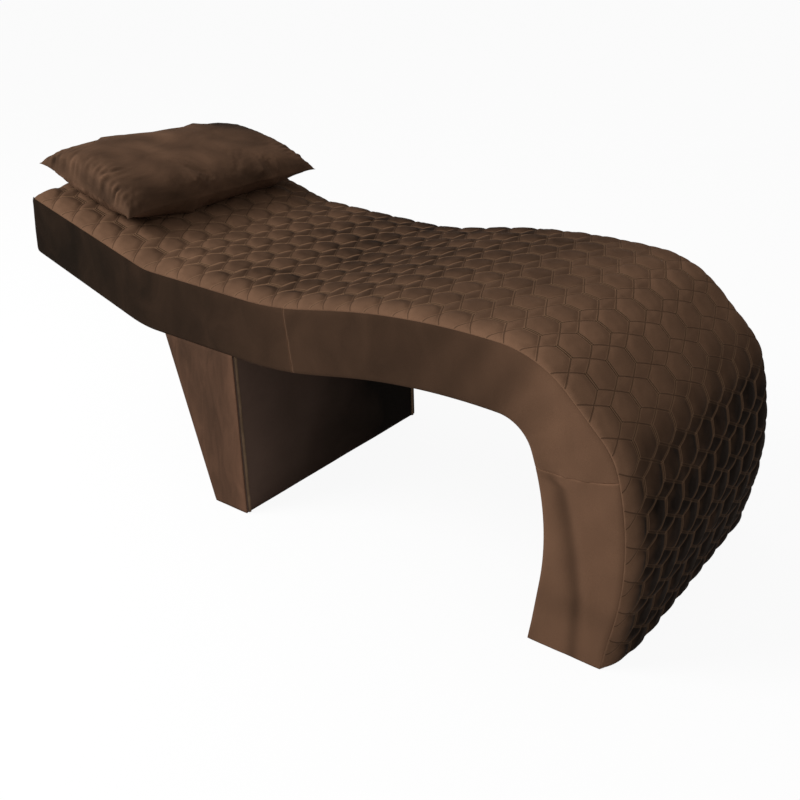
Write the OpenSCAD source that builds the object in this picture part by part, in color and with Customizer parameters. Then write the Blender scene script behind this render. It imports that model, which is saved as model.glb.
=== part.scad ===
// Curved beauty treatment bed: a bent upholstered slab that turns down into its own leg,
// a tapered pedestal bolted under the seat, and a loose pillow on the head slope.
// X runs from the head end to the foot, Y across the bed, Z up from the floor.

/* [Bed profile] */
// Width across the upholstered sides
bed_w = 700; // [640:5:760]
// Height of the top seam at the head end
head_h = 687; // [675:1:700]
// Slope of the head end, in degrees
head_slope = 14.8; // [14:0.1:15.6]
// Length of the straight head slope, along the surface
head_run = 399; // [385:1:415]
// Radius where the head slope meets the seat
seat_bend_r = 180; // [160:1:260]
// Length of the flat seat
seat_run = 310; // [300:1:330]
// Radius where the seat turns up towards the knees
rise_bend_r = 820; // [760:5:880]
// Slope of the part that rises to the knees, in degrees
rise_slope = 11.8; // [11:0.1:12.6]
// Length of the straight rise, along the surface
rise_run = 92; // [80:1:105]
// Radius of the long crest under the knees
crest_bend_r = 1820; // [1750:10:1890]
// Fall of the surface where the knee begins, in degrees
crest_slope = 1.6; // [1:0.1:2.2]
// Radius of the upper part of the knee
knee_upper_r = 244; // [232:1:256]
// Slope of the flattened middle of the knee, in degrees
knee_slope = 43.1; // [42:0.1:44.2]
// Length of the flattened middle of the knee
knee_run = 106; // [98:1:114]
// Radius of the lower part of the knee
knee_lower_r = 154; // [146:1:162]
// Slope of the leg's outer face below the knee, in degrees
shin_slope = 73.5; // [72.6:0.1:74.4]
// Height above the floor where the bowed outer face of the leg turns straight
shin_bow_end_h = 107; // [95:1:119]
// Slope of the outer face where it tucks back to the floor, in degrees
tuck_slope = 100.8; // [100:0.1:101.6]

/* [Slab and leg thickness] */
// Thickness at the head end
head_t = 144; // [136:1:152]
// Thickness over the seat
seat_t = 155; // [148:1:162]
// Thickness where the knee begins
knee_t = 152; // [146:1:158]
// How much further out the head end's lower edge stands
head_end_reach = 8; // [4:1:12]
// Greatest thickness of the leg
leg_t = 182; // [176:1:188]
// Radius of the inside of the knee
knee_inner_r = 90; // [80:1:96]
// Slope of the leg's inner face below the knee, in degrees
calf_slope = 69; // [68:0.1:70]
// Height above the floor where the bowed inner face of the leg turns straight
calf_bow_end_h = 150; // [138:1:162]
// Slope of the inner face at the floor, in degrees
calf_tuck_slope = 97; // [96:0.1:98]

/* [Upholstery] */
// Distance of the leg's side seam below the outer knee
leg_seam_drop = 10; // [4:1:20]
// Distance of that seam below the inner knee
leg_seam_inner_drop = 34; // [24:1:44]
// Thickness of the velvet panels with their backing
cover_t = 2; // [1.5:0.1:3]
// Gap of loose wadding between the quilted cover and the foam
cover_gap = 1.5; // [1.4:0.1:2]
// Length of one hexagon of the quilting, flat to flat
quilt_pitch = 75; // [66:1:90]
// Height of the puffed hexagons above their stitching
quilt_puff = 8; // [5:0.5:11]
// Least width of the plain border beside the quilting
quilt_border = 14; // [10:1:20]
// Thickness of the foam pad
foam_t = 40; // [32:1:46]
// Thickness of the thin foam on the sides
side_foam_t = 8; // [6:0.5:10]

/* [Frame] */
// Thickness of the plywood ribs and end boards
ply_t = 18; // [15:1:21]
// Thickness of the bent board under the foam
deck_t = 5; // [4:0.5:6]
// Thickness of the bent board on the underside
under_board_t = 4; // [3:0.5:6]
// Width of the cross rails
rail_w = 45; // [40:1:50]
// Height of the two rails that hold the pedestal bolts
bolt_rail_h = 70; // [60:1:76]
// Height of the rail behind the knee
knee_rail_h = 62; // [54:1:66]
// Distance from the head end to the head rail, along the surface
head_rail_at = 205; // [180:1:230]
// Clearance of a rail from the bent boards
rail_fit = 0.3; // [0.2:0.1:0.6]
// Diameter of the wood screws
screw_d = 5; // [4:0.5:6]
// Length of the wood screws
screw_l = 60; // [50:1:70]

/* [Pedestal] */
// Distance from the start of the flat seat to the pedestal
pedestal_inset = 35; // [28:1:42]
// Length of the pedestal at its top
pedestal_top_l = 227; // [218:1:236]
// Length of the pedestal at the floor
pedestal_base_l = 109; // [102:1:118]
// How far the foot-side face leans out towards the floor
pedestal_kick = 15; // [8:1:20]
// Width of the battens under the pedestal's top
batten_w = 40; // [36:1:46]
// Height of those battens
batten_h = 30; // [26:1:36]
// Width of the welts on the foot-side face
welt_w = 8; // [6:0.5:10]
// How far the welts stand proud
welt_t = 3; // [2:0.5:4]
// Distance from the pedestal's sides to the welts
welt_inset = 6; // [4:0.5:10]
// Diameter of the pedestal bolts
bolt_d = 8; // [6:1:10]
// Distance between the bolts across the bed
bolt_spread = 400; // [340:5:440]

/* [Glides] */
// Height of the glides, which is the gap over the floor
glide_h = 6; // [5:0.5:9]
// Diameter of the glides
glide_d = 28; // [22:1:32]
// Distance from a face to the middle of a glide
glide_inset = 24; // [20:1:28]

/* [Pillow] */
// Length of the pillow across the bed
pillow_l = 655; // [600:5:690]
// Width of the pillow along the bed
pillow_w = 340; // [320:1:360]
// Height of the seam above the quilting
pillow_seam_h = 68; // [62:1:76]
// Height of the crown above the seam
pillow_crown_h = 72; // [60:1:80]
// How far the sides draw in between the corners
pillow_draw = 12; // [8:1:16]
// Distance from the head end to the middle of the pillow, along the surface
pillow_at = 167; // [160:1:174]
// How far the pillow lies off the middle of the bed
pillow_off = 14; // [0:1:18]
// How far the pillow leans out of square, in degrees
pillow_skew = 3; // [0:0.5:4]
// Thickness of the pillow's cover
pillow_cover_t = 3; // [2.5:0.5:4]
// Length of the pillow's zip
zip_l = 380; // [340:5:400]
// Width of the zip tape
zip_w = 7; // [6:0.5:9]
// Thickness of the zip tape
zip_t = 1.6; // [1.2:0.1:2]

/* [Hidden] */

// Fineness of round things, and of the bends in degrees per straight piece
$fn = 48;
arc_step = 3;
// Overrun of every cut, and the running clearance of screws and bolts in their holes
cut = 1;
hole_fit = 0.05;
// Clearance between the boards and what lies on them
layer_fit = 0.05;

velvet = "#5c4434";
velvet_dark = "#3c2c22";
foam_colour = "#e8dcb8";
ply_colour = "#c9a66b";
timber_colour = "#d8bd8a";
board_colour = "#8a6a48";
steel_colour = "#b4b8bc";
plastic_colour = "#1c1b1a";

// Depths below the top seam line of the layers of the slab
foam_depth = cover_t + cover_gap;
deck_depth = foam_depth + foam_t;
rib_depth = deck_depth + deck_t;
// Heights above the underside of the layers there
board_lift = cover_t;
rib_lift = cover_t + under_board_t;
// Places of the layers across the bed
panel_y = bed_w / 2 - cover_t;
frame_y = panel_y - side_foam_t;
// Distances of the layers from the head end
board_in = cover_t;
rib_in = cover_t + ply_t;
// Height of the top of the board that closes the leg
leg_floor = glide_h + ply_t;

// A bend's length along its surface
function bend(radius, turn) = radius * turn * PI / 180;
// The straight distance across a run of a given length that turns by a given angle
function chord(length, turn) = turn == 0 ? length : 2 * length / (turn * PI / 180) * sin(turn / 2);
// A state is [x, z, heading, distance]; this is the state after a run of [length, turn]
function after(v, run) = [
    v[0] + chord(run[0], run[1]) * cos(v[2] + run[1] / 2),
    v[1] + chord(run[0], run[1]) * sin(v[2] + run[1] / 2),
    v[2] + run[1],
    v[3] + run[0]
];
// The states at the start of each run, and at the end of the last
function states(runs, v, i = 0) =
    i == len(runs) ? [v] : concat([v], states(runs, after(v, runs[i]), i + 1));
// The state at a distance along the runs
function along(runs, starts, s) =
    let (i = max([for (j = [0:len(runs) - 1]) if (starts[j][3] <= s) j]))
    after(starts[i], [s - starts[i][3], runs[i][1] * (s - starts[i][3]) / runs[i][0]]);
// Distances of the corners of an outline that follows the runs
function corners(runs, starts) = concat([0], [
    for (j = [0:len(runs) - 1])
        let (steps = max(1, ceil(abs(runs[j][1]) / arc_step)))
        for (k = [1:steps]) starts[j][3] + runs[j][0] * k / steps
]);
// The point at a depth to the right of a state
function inset(v, depth) = [v[0] + depth * sin(v[2]), v[1] - depth * cos(v[2])];
function reverse(list) = [for (i = [len(list) - 1:-1:0]) list[i]];

// Top seam line, from the head end over the knee and down to the glides
knee_runs = [
    [head_run, 0],
    [bend(seat_bend_r, head_slope), head_slope],
    [seat_run, 0],
    [bend(rise_bend_r, rise_slope), rise_slope],
    [rise_run, 0],
    [bend(crest_bend_r, rise_slope + crest_slope), -(rise_slope + crest_slope)],
    [bend(knee_upper_r, knee_slope - crest_slope), -(knee_slope - crest_slope)],
    [knee_run, 0],
    [bend(knee_lower_r, shin_slope - knee_slope), -(shin_slope - knee_slope)]
];
head_start = [0, head_h, -head_slope, 0];
shin_start = states(knee_runs, head_start)[len(knee_runs)];
shin_bow_r = (shin_start[1] - shin_bow_end_h) / (cos(shin_slope) - cos(tuck_slope));
bed_runs = concat(knee_runs, [[bend(shin_bow_r, tuck_slope - shin_slope), -(tuck_slope - shin_slope)]]);
tuck_start = states(bed_runs, head_start)[len(bed_runs)];
top_runs = concat(bed_runs, [[(tuck_start[1] - glide_h) / sin(tuck_slope), 0]]);
top_starts = states(top_runs, head_start);
top_length = top_starts[len(top_runs)][3];
function top_at(s) = along(top_runs, top_starts, s);

// Distances along the top where the seat, the rise and the knee begin
seat_s = top_starts[2][3];
rise_s = top_starts[3][3];
knee_s = top_starts[6][3];
seat_x = top_starts[2][0];
seat_z = top_starts[2][1];
// The leg's outer face stands furthest out where it is upright
leg_wide_z = top_starts[9][1] - shin_bow_r * cos(shin_slope);
leg_wide_x = top_starts[9][0] + shin_bow_r * (1 - sin(shin_slope));
// Seams of the side panels: one on the rise, one across the leg under the knee
middle_seam_share = 0.72;
middle_seam_s = rise_s + bend(rise_bend_r, rise_slope) * middle_seam_share;
leg_seam_s = top_starts[9][3] + leg_seam_drop;
// Corners of every layer's outline along the top, with both seams among them
function with_place(list, s) = concat([for (v = list) if (v < s) v], [s], [for (v = list) if (v > s) v]);
top_s = with_place(with_place(corners(top_runs, top_starts), middle_seam_s), leg_seam_s);

// Thickness of the slab at a distance along the top, up to the knee
function slab_t(s) = lookup(s, [[0, head_t], [seat_s, seat_t], [rise_s, seat_t], [knee_s, knee_t]]);

// Inner line of the leg: it carries on from the underside where the knee begins
inner_origin = concat(inset(top_starts[6], knee_t), [-crest_slope, 0]);
knee_inner_run = knee_inner_r * (sin(calf_slope) - sin(crest_slope));
knee_inner_fall = knee_inner_r * (cos(crest_slope) - cos(calf_slope));
calf_x = leg_wide_x - leg_t - inner_origin[0] - knee_inner_run;
calf_z = inner_origin[1] - calf_x * tan(crest_slope) - knee_inner_fall;
calf_bow_share = 1 - sin(calf_slope);
calf_bow_r = (calf_z - calf_bow_end_h)
    / (cos(calf_slope) - cos(calf_tuck_slope) - calf_bow_share * tan(crest_slope));
inner_reach = calf_x - calf_bow_r * calf_bow_share;
calf_runs = [
    [inner_reach / cos(crest_slope), 0],
    [bend(knee_inner_r, calf_slope - crest_slope), -(calf_slope - crest_slope)],
    [bend(calf_bow_r, calf_tuck_slope - calf_slope), -(calf_tuck_slope - calf_slope)]
];
calf_end = states(calf_runs, inner_origin)[len(calf_runs)];
inner_runs = concat(calf_runs, [[(calf_end[1] - glide_h) / sin(calf_tuck_slope), 0]]);
inner_starts = states(inner_runs, inner_origin);
inner_s = corners(inner_runs, inner_starts);
function inner_at(s) = along(inner_runs, inner_starts, s);
// Where the leg's side seam meets the inner face, below the inner knee
leg_seam_inner_s = inner_starts[2][3] + leg_seam_inner_drop;
inner_knee_s = inner_starts[1][3];

// Points where a layer meets the head end, and where it meets a level near the floor
function top_head(depth, into) = inset(
    top_at((into - head_end_reach * depth / head_t + depth * sin(head_slope)) / cos(head_slope)), depth);
head_pull = sin(head_slope) - head_end_reach / head_t;
head_thicken = (seat_t - head_t) / seat_s;
function under_head(lift, into) =
    let (s = (into + (head_t - lift) * head_pull) / (cos(head_slope) - head_thicken * head_pull))
    inset(top_at(s), slab_t(s) - lift);
function top_floor(depth, level) = inset(
    after(tuck_start, [(tuck_start[1] - depth * cos(tuck_slope) - level) / sin(tuck_slope), 0]), depth);
function inner_floor(lift, level) = inset(
    after(calf_end, [(calf_end[1] + lift * cos(calf_tuck_slope) - level) / sin(calf_tuck_slope), 0]),
    -lift);

// Stretches of the layer lines between two distances
function top_line(depth, from, to) = concat(
    [inset(top_at(from), depth)],
    [for (s = top_s) if (s > from + cut / 10 && s < to - cut / 10) inset(top_at(s), depth)],
    [inset(top_at(to), depth)]);
function under_line(lift, from, to) = concat(
    [inset(top_at(from), slab_t(from) - lift)],
    [for (s = top_s) if (s > from + cut / 10 && s < to - cut / 10) inset(top_at(s), slab_t(s) - lift)],
    [inset(top_at(to), slab_t(to) - lift)]);
function inner_line(lift, from, to) = concat(
    [inset(inner_at(from), -lift)],
    [for (s = inner_s) if (s > from + cut / 10 && s < to - cut / 10) inset(inner_at(s), -lift)],
    [inset(inner_at(to), -lift)]);
// The same lines run out to the head end and to a level near the floor
first_s = head_run / 2;
function top_from_head(depth, into, to) = concat([top_head(depth, into)], top_line(depth, first_s, to));
function top_to_floor(depth, from, level) = concat(
    top_line(depth, from, tuck_start[3]), [top_floor(depth, level)]);
function under_from_head(lift, into, to) = concat(
    [under_head(lift, into)], under_line(lift, first_s, to));
function inner_to_floor(lift, from, level) = concat(
    inner_line(lift, from, calf_end[3]), [inner_floor(lift, level)]);
function whole_top(depth, into, level) = concat(
    top_from_head(depth, into, knee_s), top_to_floor(depth, knee_s, level));
function whole_under(lift, into, level) = concat(
    under_from_head(lift, into, knee_s), inner_to_floor(lift, 0, level));

// Pedestal: its top is the underside of the seat
pedestal_z = seat_z - seat_t;
pedestal_x = seat_x + pedestal_inset;
pedestal_h = pedestal_z - glide_h;
pedestal_back = pedestal_top_l + pedestal_kick - pedestal_base_l;
head_face_lean = atan(pedestal_back / pedestal_h);
foot_face_lean = atan(pedestal_kick / pedestal_h);
// Places on the head-side and foot-side faces at a height, and at a depth inside them
function head_face(z, depth) =
    [pedestal_x + (pedestal_z - z) * tan(head_face_lean) + depth / cos(head_face_lean), z];
function foot_face(z, depth) =
    [pedestal_x + pedestal_top_l + (pedestal_z - z) * tan(foot_face_lean) - depth / cos(foot_face_lean), z];
board_face = cover_t;
batten_face = cover_t + ply_t;
pedestal_y = panel_y - ply_t;
// Battens under the pedestal's top, and the bolts in the middle of each
batten_z = pedestal_z - batten_h;
head_batten_x = head_face(batten_z, batten_face)[0] + batten_w;
foot_batten_x = foot_face(pedestal_z, batten_face)[0] - batten_w;
bolt_x_head = head_batten_x - batten_w / 2;
bolt_x_foot = foot_batten_x + batten_w / 2;

// The middle of the whole bed, which becomes the origin
middle_x = (leg_wide_x + quilt_puff - head_end_reach) / 2;
module placed() {
    translate([-middle_x, 0, 0]) children();
}
// An outline in X and Z, given depth between two places across the bed
module across(points, y0, y1) {
    translate([0, y1, 0]) rotate([90, 0, 0]) linear_extrude(height = y1 - y0) polygon(points);
}

// Quilting: rows of points across the bed on a triangular grid, each third one a puffed middle
quilt_a = quilt_pitch / sqrt(3);
quilt_rows = round(top_length / (quilt_pitch / 2));
quilt_reach = ceil(bed_w / quilt_a);
function row_s(i) = top_length * i / quilt_rows;
// Half steps of the grid that lie inside the border of a row
function row_steps(i) = [
    for (j = [-quilt_reach:quilt_reach])
        let (k = 2 * j + i % 2)
        if (abs(k) * quilt_a / 2 < bed_w / 2 - quilt_border) k
];
function is_middle(i, k) = i > 0 && i < quilt_rows && abs(k) % 6 == 3 * (i % 2);
function quilt_point(i, y, rise) =
    let (p = inset(top_at(row_s(i)), -rise))
    [p[0], y, p[1]];
function quilt_row(i) = concat(
    [quilt_point(i, -bed_w / 2, 0)],
    [for (k = row_steps(i)) quilt_point(i, k * quilt_a / 2, is_middle(i, k) ? quilt_puff : 0)],
    [quilt_point(i, bed_w / 2, 0)]);
// Index of the first point of each row
row_sizes = [for (i = [0:quilt_rows]) len(row_steps(i)) + 2];
function sum_to(list, n) = n == 0 ? 0 : list[n - 1] + sum_to(list, n - 1);
row_firsts = [for (i = [0:quilt_rows + 1]) sum_to(row_sizes, i)];
// How many of a row's gaps have their middle before a place
function gaps_before(row, y) = len([
    for (j = [0:len(row) - 2]) if ((row[j][1] + row[j + 1][1]) / 2 < y) j
]);
// Triangles that join one row to the next
function stitch(i) =
    let (a = quilt_row(i), b = quilt_row(i + 1), fa = row_firsts[i], fb = row_firsts[i + 1])
    concat(
        [for (j = [0:len(a) - 2])
            [fa + j, fa + j + 1, fb + gaps_before(b, (a[j][1] + a[j + 1][1]) / 2)]],
        [for (j = [0:len(b) - 2])
            [fb + j + 1, fb + j, fa + gaps_before(a, (b[j][1] + b[j + 1][1]) / 2)]]);

module quilted_top_cover() {
    last = quilt_rows;
    under = row_firsts[last + 1];
    points = concat(
        [for (i = [0:last]) each quilt_row(i)],
        [for (i = [0:last]) each [
            quilt_point(i, -bed_w / 2, -cover_t),
            quilt_point(i, bed_w / 2, -cover_t)
        ]]);
    faces = concat(
        [for (i = [0:last - 1]) each stitch(i)],
        [for (i = [0:last - 1]) each [
            [under + 2 * i, under + 2 * i + 2, under + 2 * i + 1],
            [under + 2 * i + 1, under + 2 * i + 2, under + 2 * i + 3],
            [row_firsts[i], row_firsts[i + 1], under + 2 * i],
            [row_firsts[i + 1], under + 2 * i + 2, under + 2 * i],
            [row_firsts[i + 1] - 1, under + 2 * i + 1, row_firsts[i + 2] - 1],
            [row_firsts[i + 2] - 1, under + 2 * i + 1, under + 2 * i + 3]
        ]],
        [for (j = [0:row_sizes[0] - 2]) [j + 1, j, under]],
        [[under + 1, row_sizes[0] - 1, under]],
        [for (j = [row_firsts[last]:row_firsts[last + 1] - 2]) [j, j + 1, under + 2 * last]],
        [[row_firsts[last + 1] - 1, under + 2 * last + 1, under + 2 * last]]);
    color(velvet) placed() polyhedron(points, faces);
}

// Velvet panels of the sides, in three lengths that meet at two seams
module side_panel(points, side) {
    y = side * (panel_y + cover_t / 2);
    color(velvet) placed() across(points, y - cover_t / 2, y + cover_t / 2);
}
module side_panel_head(side) side_panel(concat(
    top_from_head(foam_depth, 0, middle_seam_s), reverse(under_from_head(0, 0, middle_seam_s))), side);
module side_panel_middle(side) side_panel(concat(
    top_line(foam_depth, middle_seam_s, leg_seam_s),
    reverse(concat(under_line(0, middle_seam_s, knee_s), inner_line(0, 0, leg_seam_inner_s)))), side);
module side_panel_leg(side) side_panel(concat(
    top_to_floor(foam_depth, leg_seam_s, glide_h),
    reverse(inner_to_floor(0, leg_seam_inner_s, glide_h))), side);
module side_cover_near_head() side_panel_head(-1);
module side_cover_near_middle() side_panel_middle(-1);
module side_cover_near_leg() side_panel_leg(-1);
module side_cover_far_head() side_panel_head(1);
module side_cover_far_middle() side_panel_middle(1);
module side_cover_far_leg() side_panel_leg(1);

module head_end_cover() {
    color(velvet_dark) placed() across(
        [top_head(foam_depth, 0), top_head(foam_depth, cover_t), under_head(0, cover_t), under_head(0, 0)],
        -panel_y, panel_y);
}

module underside_cover() {
    color(velvet_dark) placed() difference() {
        across(concat(
            under_from_head(0, cover_t, knee_s), [inset(inner_at(inner_knee_s), 0)],
            [inset(inner_at(inner_knee_s), -board_lift)],
            reverse(under_from_head(board_lift, cover_t, knee_s))), -panel_y, panel_y);
        bolt_holes(bolt_d / 2 + hole_fit);
    }
}

module leg_inner_cover() {
    color(velvet_dark) placed() across(concat(
        inner_to_floor(0, inner_knee_s, glide_h),
        reverse(inner_to_floor(board_lift, inner_knee_s, glide_h))), -panel_y, panel_y);
}

// Foam pad in three lengths, and thin foam on the sides
module foam_block(points) color(foam_colour) placed() across(points, -frame_y, frame_y);
module foam_head() foam_block(concat(
    top_from_head(foam_depth, board_in, middle_seam_s),
    reverse(top_from_head(deck_depth, board_in, middle_seam_s))));
module foam_seat() foam_block(concat(
    top_line(foam_depth, middle_seam_s, knee_s),
    reverse(top_line(deck_depth, middle_seam_s, knee_s))));
module foam_leg() foam_block(concat(
    top_to_floor(foam_depth, knee_s, leg_floor),
    reverse(top_to_floor(deck_depth, knee_s, leg_floor))));
module side_foam(side) {
    y = side * (frame_y + side_foam_t / 2);
    color(foam_colour) placed() across(concat(
        whole_top(foam_depth, board_in, leg_floor), reverse(whole_under(board_lift, board_in, leg_floor))),
        y - side_foam_t / 2, y + side_foam_t / 2);
}
module side_foam_near() side_foam(-1);
module side_foam_far() side_foam(1);

// Bent boards over and under the ribs, each in two lengths that meet at the knee
module bent_board(points) color(board_colour) placed() across(points, -frame_y, frame_y);
deck_top = deck_depth + layer_fit;
deck_under = rib_depth - layer_fit;
under_board_low = board_lift + layer_fit;
under_board_high = rib_lift - layer_fit;
module deck_board_bed() bent_board(concat(
    top_from_head(deck_top, board_in, knee_s), reverse(top_from_head(deck_under, board_in, knee_s))));
module deck_board_leg() bent_board(concat(
    top_to_floor(deck_top, knee_s, leg_floor), reverse(top_to_floor(deck_under, knee_s, leg_floor))));
module under_board_bed() {
    difference() {
        bent_board(concat(
            under_from_head(under_board_low, board_in, knee_s),
            [inset(inner_at(inner_knee_s), -under_board_low)],
            [inset(inner_at(inner_knee_s), -under_board_high)],
            reverse(under_from_head(under_board_high, board_in, knee_s))));
        color(board_colour) placed() bolt_holes(bolt_d / 2 + hole_fit);
    }
}
module under_board_leg() bent_board(concat(
    inner_to_floor(under_board_low, inner_knee_s, leg_floor),
    reverse(inner_to_floor(under_board_high, inner_knee_s, leg_floor))));

// Plywood ribs: one behind each side and one along the middle
rib_outline = concat(
    whole_top(rib_depth, rib_in, leg_floor), reverse(whole_under(rib_lift, rib_in, leg_floor)));
module side_rib(side) {
    y = side * (frame_y - ply_t / 2);
    color(ply_colour) placed() difference() {
        across(rib_outline, y - ply_t / 2, y + ply_t / 2);
        screw_holes(side);
    }
}
module rib_near() side_rib(-1);
module rib_far() side_rib(1);
module rib_centre() {
    color(ply_colour) placed() across(rib_outline, -ply_t / 2, ply_t / 2);
}
module head_end_board() {
    color(ply_colour) placed() across(
        [top_head(rib_depth, board_in), top_head(rib_depth, rib_in),
            under_head(rib_lift, rib_in), under_head(rib_lift, board_in)], -frame_y, frame_y);
}
module foot_end_board() {
    color(ply_colour) placed() across(
        [top_floor(foam_depth, glide_h), top_floor(foam_depth, leg_floor),
            inner_floor(board_lift, leg_floor), inner_floor(board_lift, glide_h)], -panel_y, panel_y);
}

// Cross rails: each is cut in two, one piece in each bay between the ribs
bay_in = ply_t / 2;
bay_out = frame_y - ply_t;
// Corners of a rail that fills the slab, and of one of a given height over the under board
function full_rail(s) = [
    for (e = [-1, 1]) inset(top_at(s + e * rail_w / 2), rib_depth + rail_fit),
    for (e = [1, -1]) inset(top_at(s + e * rail_w / 2), slab_t(s + e * rail_w / 2) - rib_lift - rail_fit)
];
function low_rail(s) = [
    for (e = [-1, 1]) inset(top_at(s + e * rail_w / 2), seat_t - rib_lift - bolt_rail_h),
    for (e = [1, -1]) inset(top_at(s + e * rail_w / 2), seat_t - rib_lift)
];
knee_mid_s = (top_starts[7][3] + top_starts[8][3]) / 2;
knee_rail_corners = [
    for (e = [-1, 1]) inset(top_at(knee_mid_s + e * rail_w / 2), rib_depth + rail_fit),
    for (e = [1, -1]) inset(top_at(knee_mid_s + e * rail_w / 2), rib_depth + rail_fit + knee_rail_h)
];
// The leg rail lies level where both faces of the leg are upright; its ends clear the bow there
leg_rail_fit = 1;
leg_rail_x0 = leg_wide_x - leg_t + rib_lift + leg_rail_fit;
leg_rail_x1 = leg_wide_x - rib_depth - leg_rail_fit;
leg_rail_corners = [
    [leg_rail_x0, leg_wide_z + rail_w / 2],
    [leg_rail_x1, leg_wide_z + rail_w / 2],
    [leg_rail_x1, leg_wide_z - rail_w / 2],
    [leg_rail_x0, leg_wide_z - rail_w / 2]
];
rise_rail_s = (top_starts[4][3] + top_starts[5][3]) / 2;
rail_corners = [
    full_rail(head_rail_at),
    low_rail(seat_s + bolt_x_head - seat_x),
    low_rail(seat_s + bolt_x_foot - seat_x),
    full_rail(rise_rail_s),
    knee_rail_corners,
    leg_rail_corners
];
module cross_rail(i) {
    color(timber_colour) placed() difference() {
        for (side = [-1, 1]) {
            y = side * (bay_in + bay_out) / 2;
            across(rail_corners[i], y - (bay_out - bay_in) / 2, y + (bay_out - bay_in) / 2);
        }
        for (side = [-1, 1]) screw_holes(side);
        bolt_holes(bolt_d / 2 + hole_fit);
        nut_seats();
    }
}
module head_rail() cross_rail(0);
module seat_rail_head_side() cross_rail(1);
module seat_rail_foot_side() cross_rail(2);
module rise_rail() cross_rail(3);
module knee_rail() cross_rail(4);
module leg_rail() cross_rail(5);

// Two screws hold each rail end: they stand at two shares of the rail's longer middle line
screw_shares = [0.25, 0.75];
screw_head_d = 2 * screw_d;
screw_head_t = 0.6 * screw_d;
function mix(a, b, share) = a + (b - a) * share;
screw_points = [
    for (c = rail_corners)
        let (top = mix(c[0], c[1], 0.5), bottom = mix(c[2], c[3], 0.5),
            left = mix(c[0], c[3], 0.5), right = mix(c[1], c[2], 0.5),
            long = norm(top - bottom) > norm(left - right))
        for (share = screw_shares) long ? mix(top, bottom, share) : mix(left, right, share)
];
// A round bar that starts on a rib's outer face and runs inwards
module screw_bar(point, side, radius, length, start = 0) {
    translate([point[0], side * (frame_y - start), point[1]]) rotate([side * 90, 0, 0])
        cylinder(r = radius, h = length);
}
module screw_holes(side) {
    for (p = screw_points) {
        screw_bar(p, side, screw_d / 2 + hole_fit, screw_l + hole_fit);
        screw_bar(p, side, screw_head_d / 2 + hole_fit, screw_head_t + hole_fit + cut, -cut);
    }
}
module frame_screws() {
    color(steel_colour) placed() for (side = [-1, 1]) for (p = screw_points) union() {
        screw_bar(p, side, screw_d / 2, screw_l);
        screw_bar(p, side, screw_head_d / 2, screw_head_t);
    }
}

module glide(x, y) {
    translate([x, y, 0]) cylinder(d1 = glide_d - glide_h / 2, d2 = glide_d, h = glide_h);
}
module foot_glides() {
    color(plastic_colour) placed() for (side = [-1, 1]) {
        y = side * (panel_y - glide_inset);
        glide(top_floor(foam_depth, glide_h)[0] - glide_inset, y);
        glide(inner_floor(board_lift, glide_h)[0] + glide_inset, y);
    }
}

// Pedestal boards
function pedestal_outline(depth, top, bottom) = [
    head_face(top, depth), foot_face(top, depth), foot_face(bottom, depth), head_face(bottom, depth)
];
module pedestal_side(side) {
    y = side * (panel_y - ply_t / 2);
    color(ply_colour) placed() across(
        pedestal_outline(board_face, pedestal_z, glide_h), y - ply_t / 2, y + ply_t / 2);
}
module pedestal_side_near() pedestal_side(-1);
module pedestal_side_far() pedestal_side(1);
module pedestal_head_board() {
    color(ply_colour) placed() across(
        [head_face(pedestal_z, board_face), head_face(pedestal_z, batten_face),
            head_face(glide_h, batten_face), head_face(glide_h, board_face)], -pedestal_y, pedestal_y);
}
module pedestal_foot_board() {
    color(ply_colour) placed() across(
        [foot_face(pedestal_z, board_face), foot_face(pedestal_z, batten_face),
            foot_face(glide_h, batten_face), foot_face(glide_h, board_face)], -pedestal_y, pedestal_y);
}
module pedestal_base_board() {
    color(ply_colour) placed() across(
        pedestal_outline(batten_face, glide_h + ply_t, glide_h), -pedestal_y, pedestal_y);
}

// Battens that take the bolts
module batten(points) {
    color(timber_colour) placed() difference() {
        across(points, -pedestal_y, pedestal_y);
        bolt_holes(bolt_d / 2 + hole_fit);
    }
}
module pedestal_batten_head_side() batten(
    [head_face(pedestal_z, batten_face), [head_batten_x, pedestal_z],
        [head_batten_x, batten_z], head_face(batten_z, batten_face)]);
module pedestal_batten_foot_side() batten(
    [foot_face(pedestal_z, batten_face), [foot_batten_x, pedestal_z],
        [foot_batten_x, batten_z], foot_face(batten_z, batten_face)]);

// Bolts rise through washer, batten, cover and board into a T-nut on top of the seat rail
washer_t = 0.2 * bolt_d;
washer_r = 1.1 * bolt_d;
bolt_head_h = 0.65 * bolt_d;
bolt_head_r = 0.9 * bolt_d;
nut_flange_t = 0.2 * bolt_d;
nut_flange_r = 1.3 * bolt_d;
nut_barrel_r = 0.65 * bolt_d;
nut_barrel_h = 1.4 * bolt_d;
rail_top_z = pedestal_z + rib_lift + bolt_rail_h;
bolt_places = [
    for (x = [bolt_x_head, bolt_x_foot]) for (side = [-1, 1]) [x, side * bolt_spread / 2]
];
module bolt_holes(radius) {
    for (p = bolt_places) translate([p[0], p[1], batten_z - cut])
        cylinder(r = radius, h = rail_top_z - batten_z + 2 * cut);
}
module nut_seats() {
    for (p = bolt_places) translate([p[0], p[1], rail_top_z - nut_barrel_h])
        cylinder(r = nut_barrel_r + hole_fit, h = nut_barrel_h + cut);
}
module pedestal_bolts() {
    color(steel_colour) placed() for (p = bolt_places) union() {
        translate([p[0], p[1], batten_z - washer_t])
            cylinder(r = bolt_d / 2, h = rail_top_z + nut_flange_t - batten_z + washer_t);
        translate([p[0], p[1], batten_z - washer_t - bolt_head_h])
            cylinder(r = bolt_head_r, h = bolt_head_h, $fn = 6);
    }
}
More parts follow.
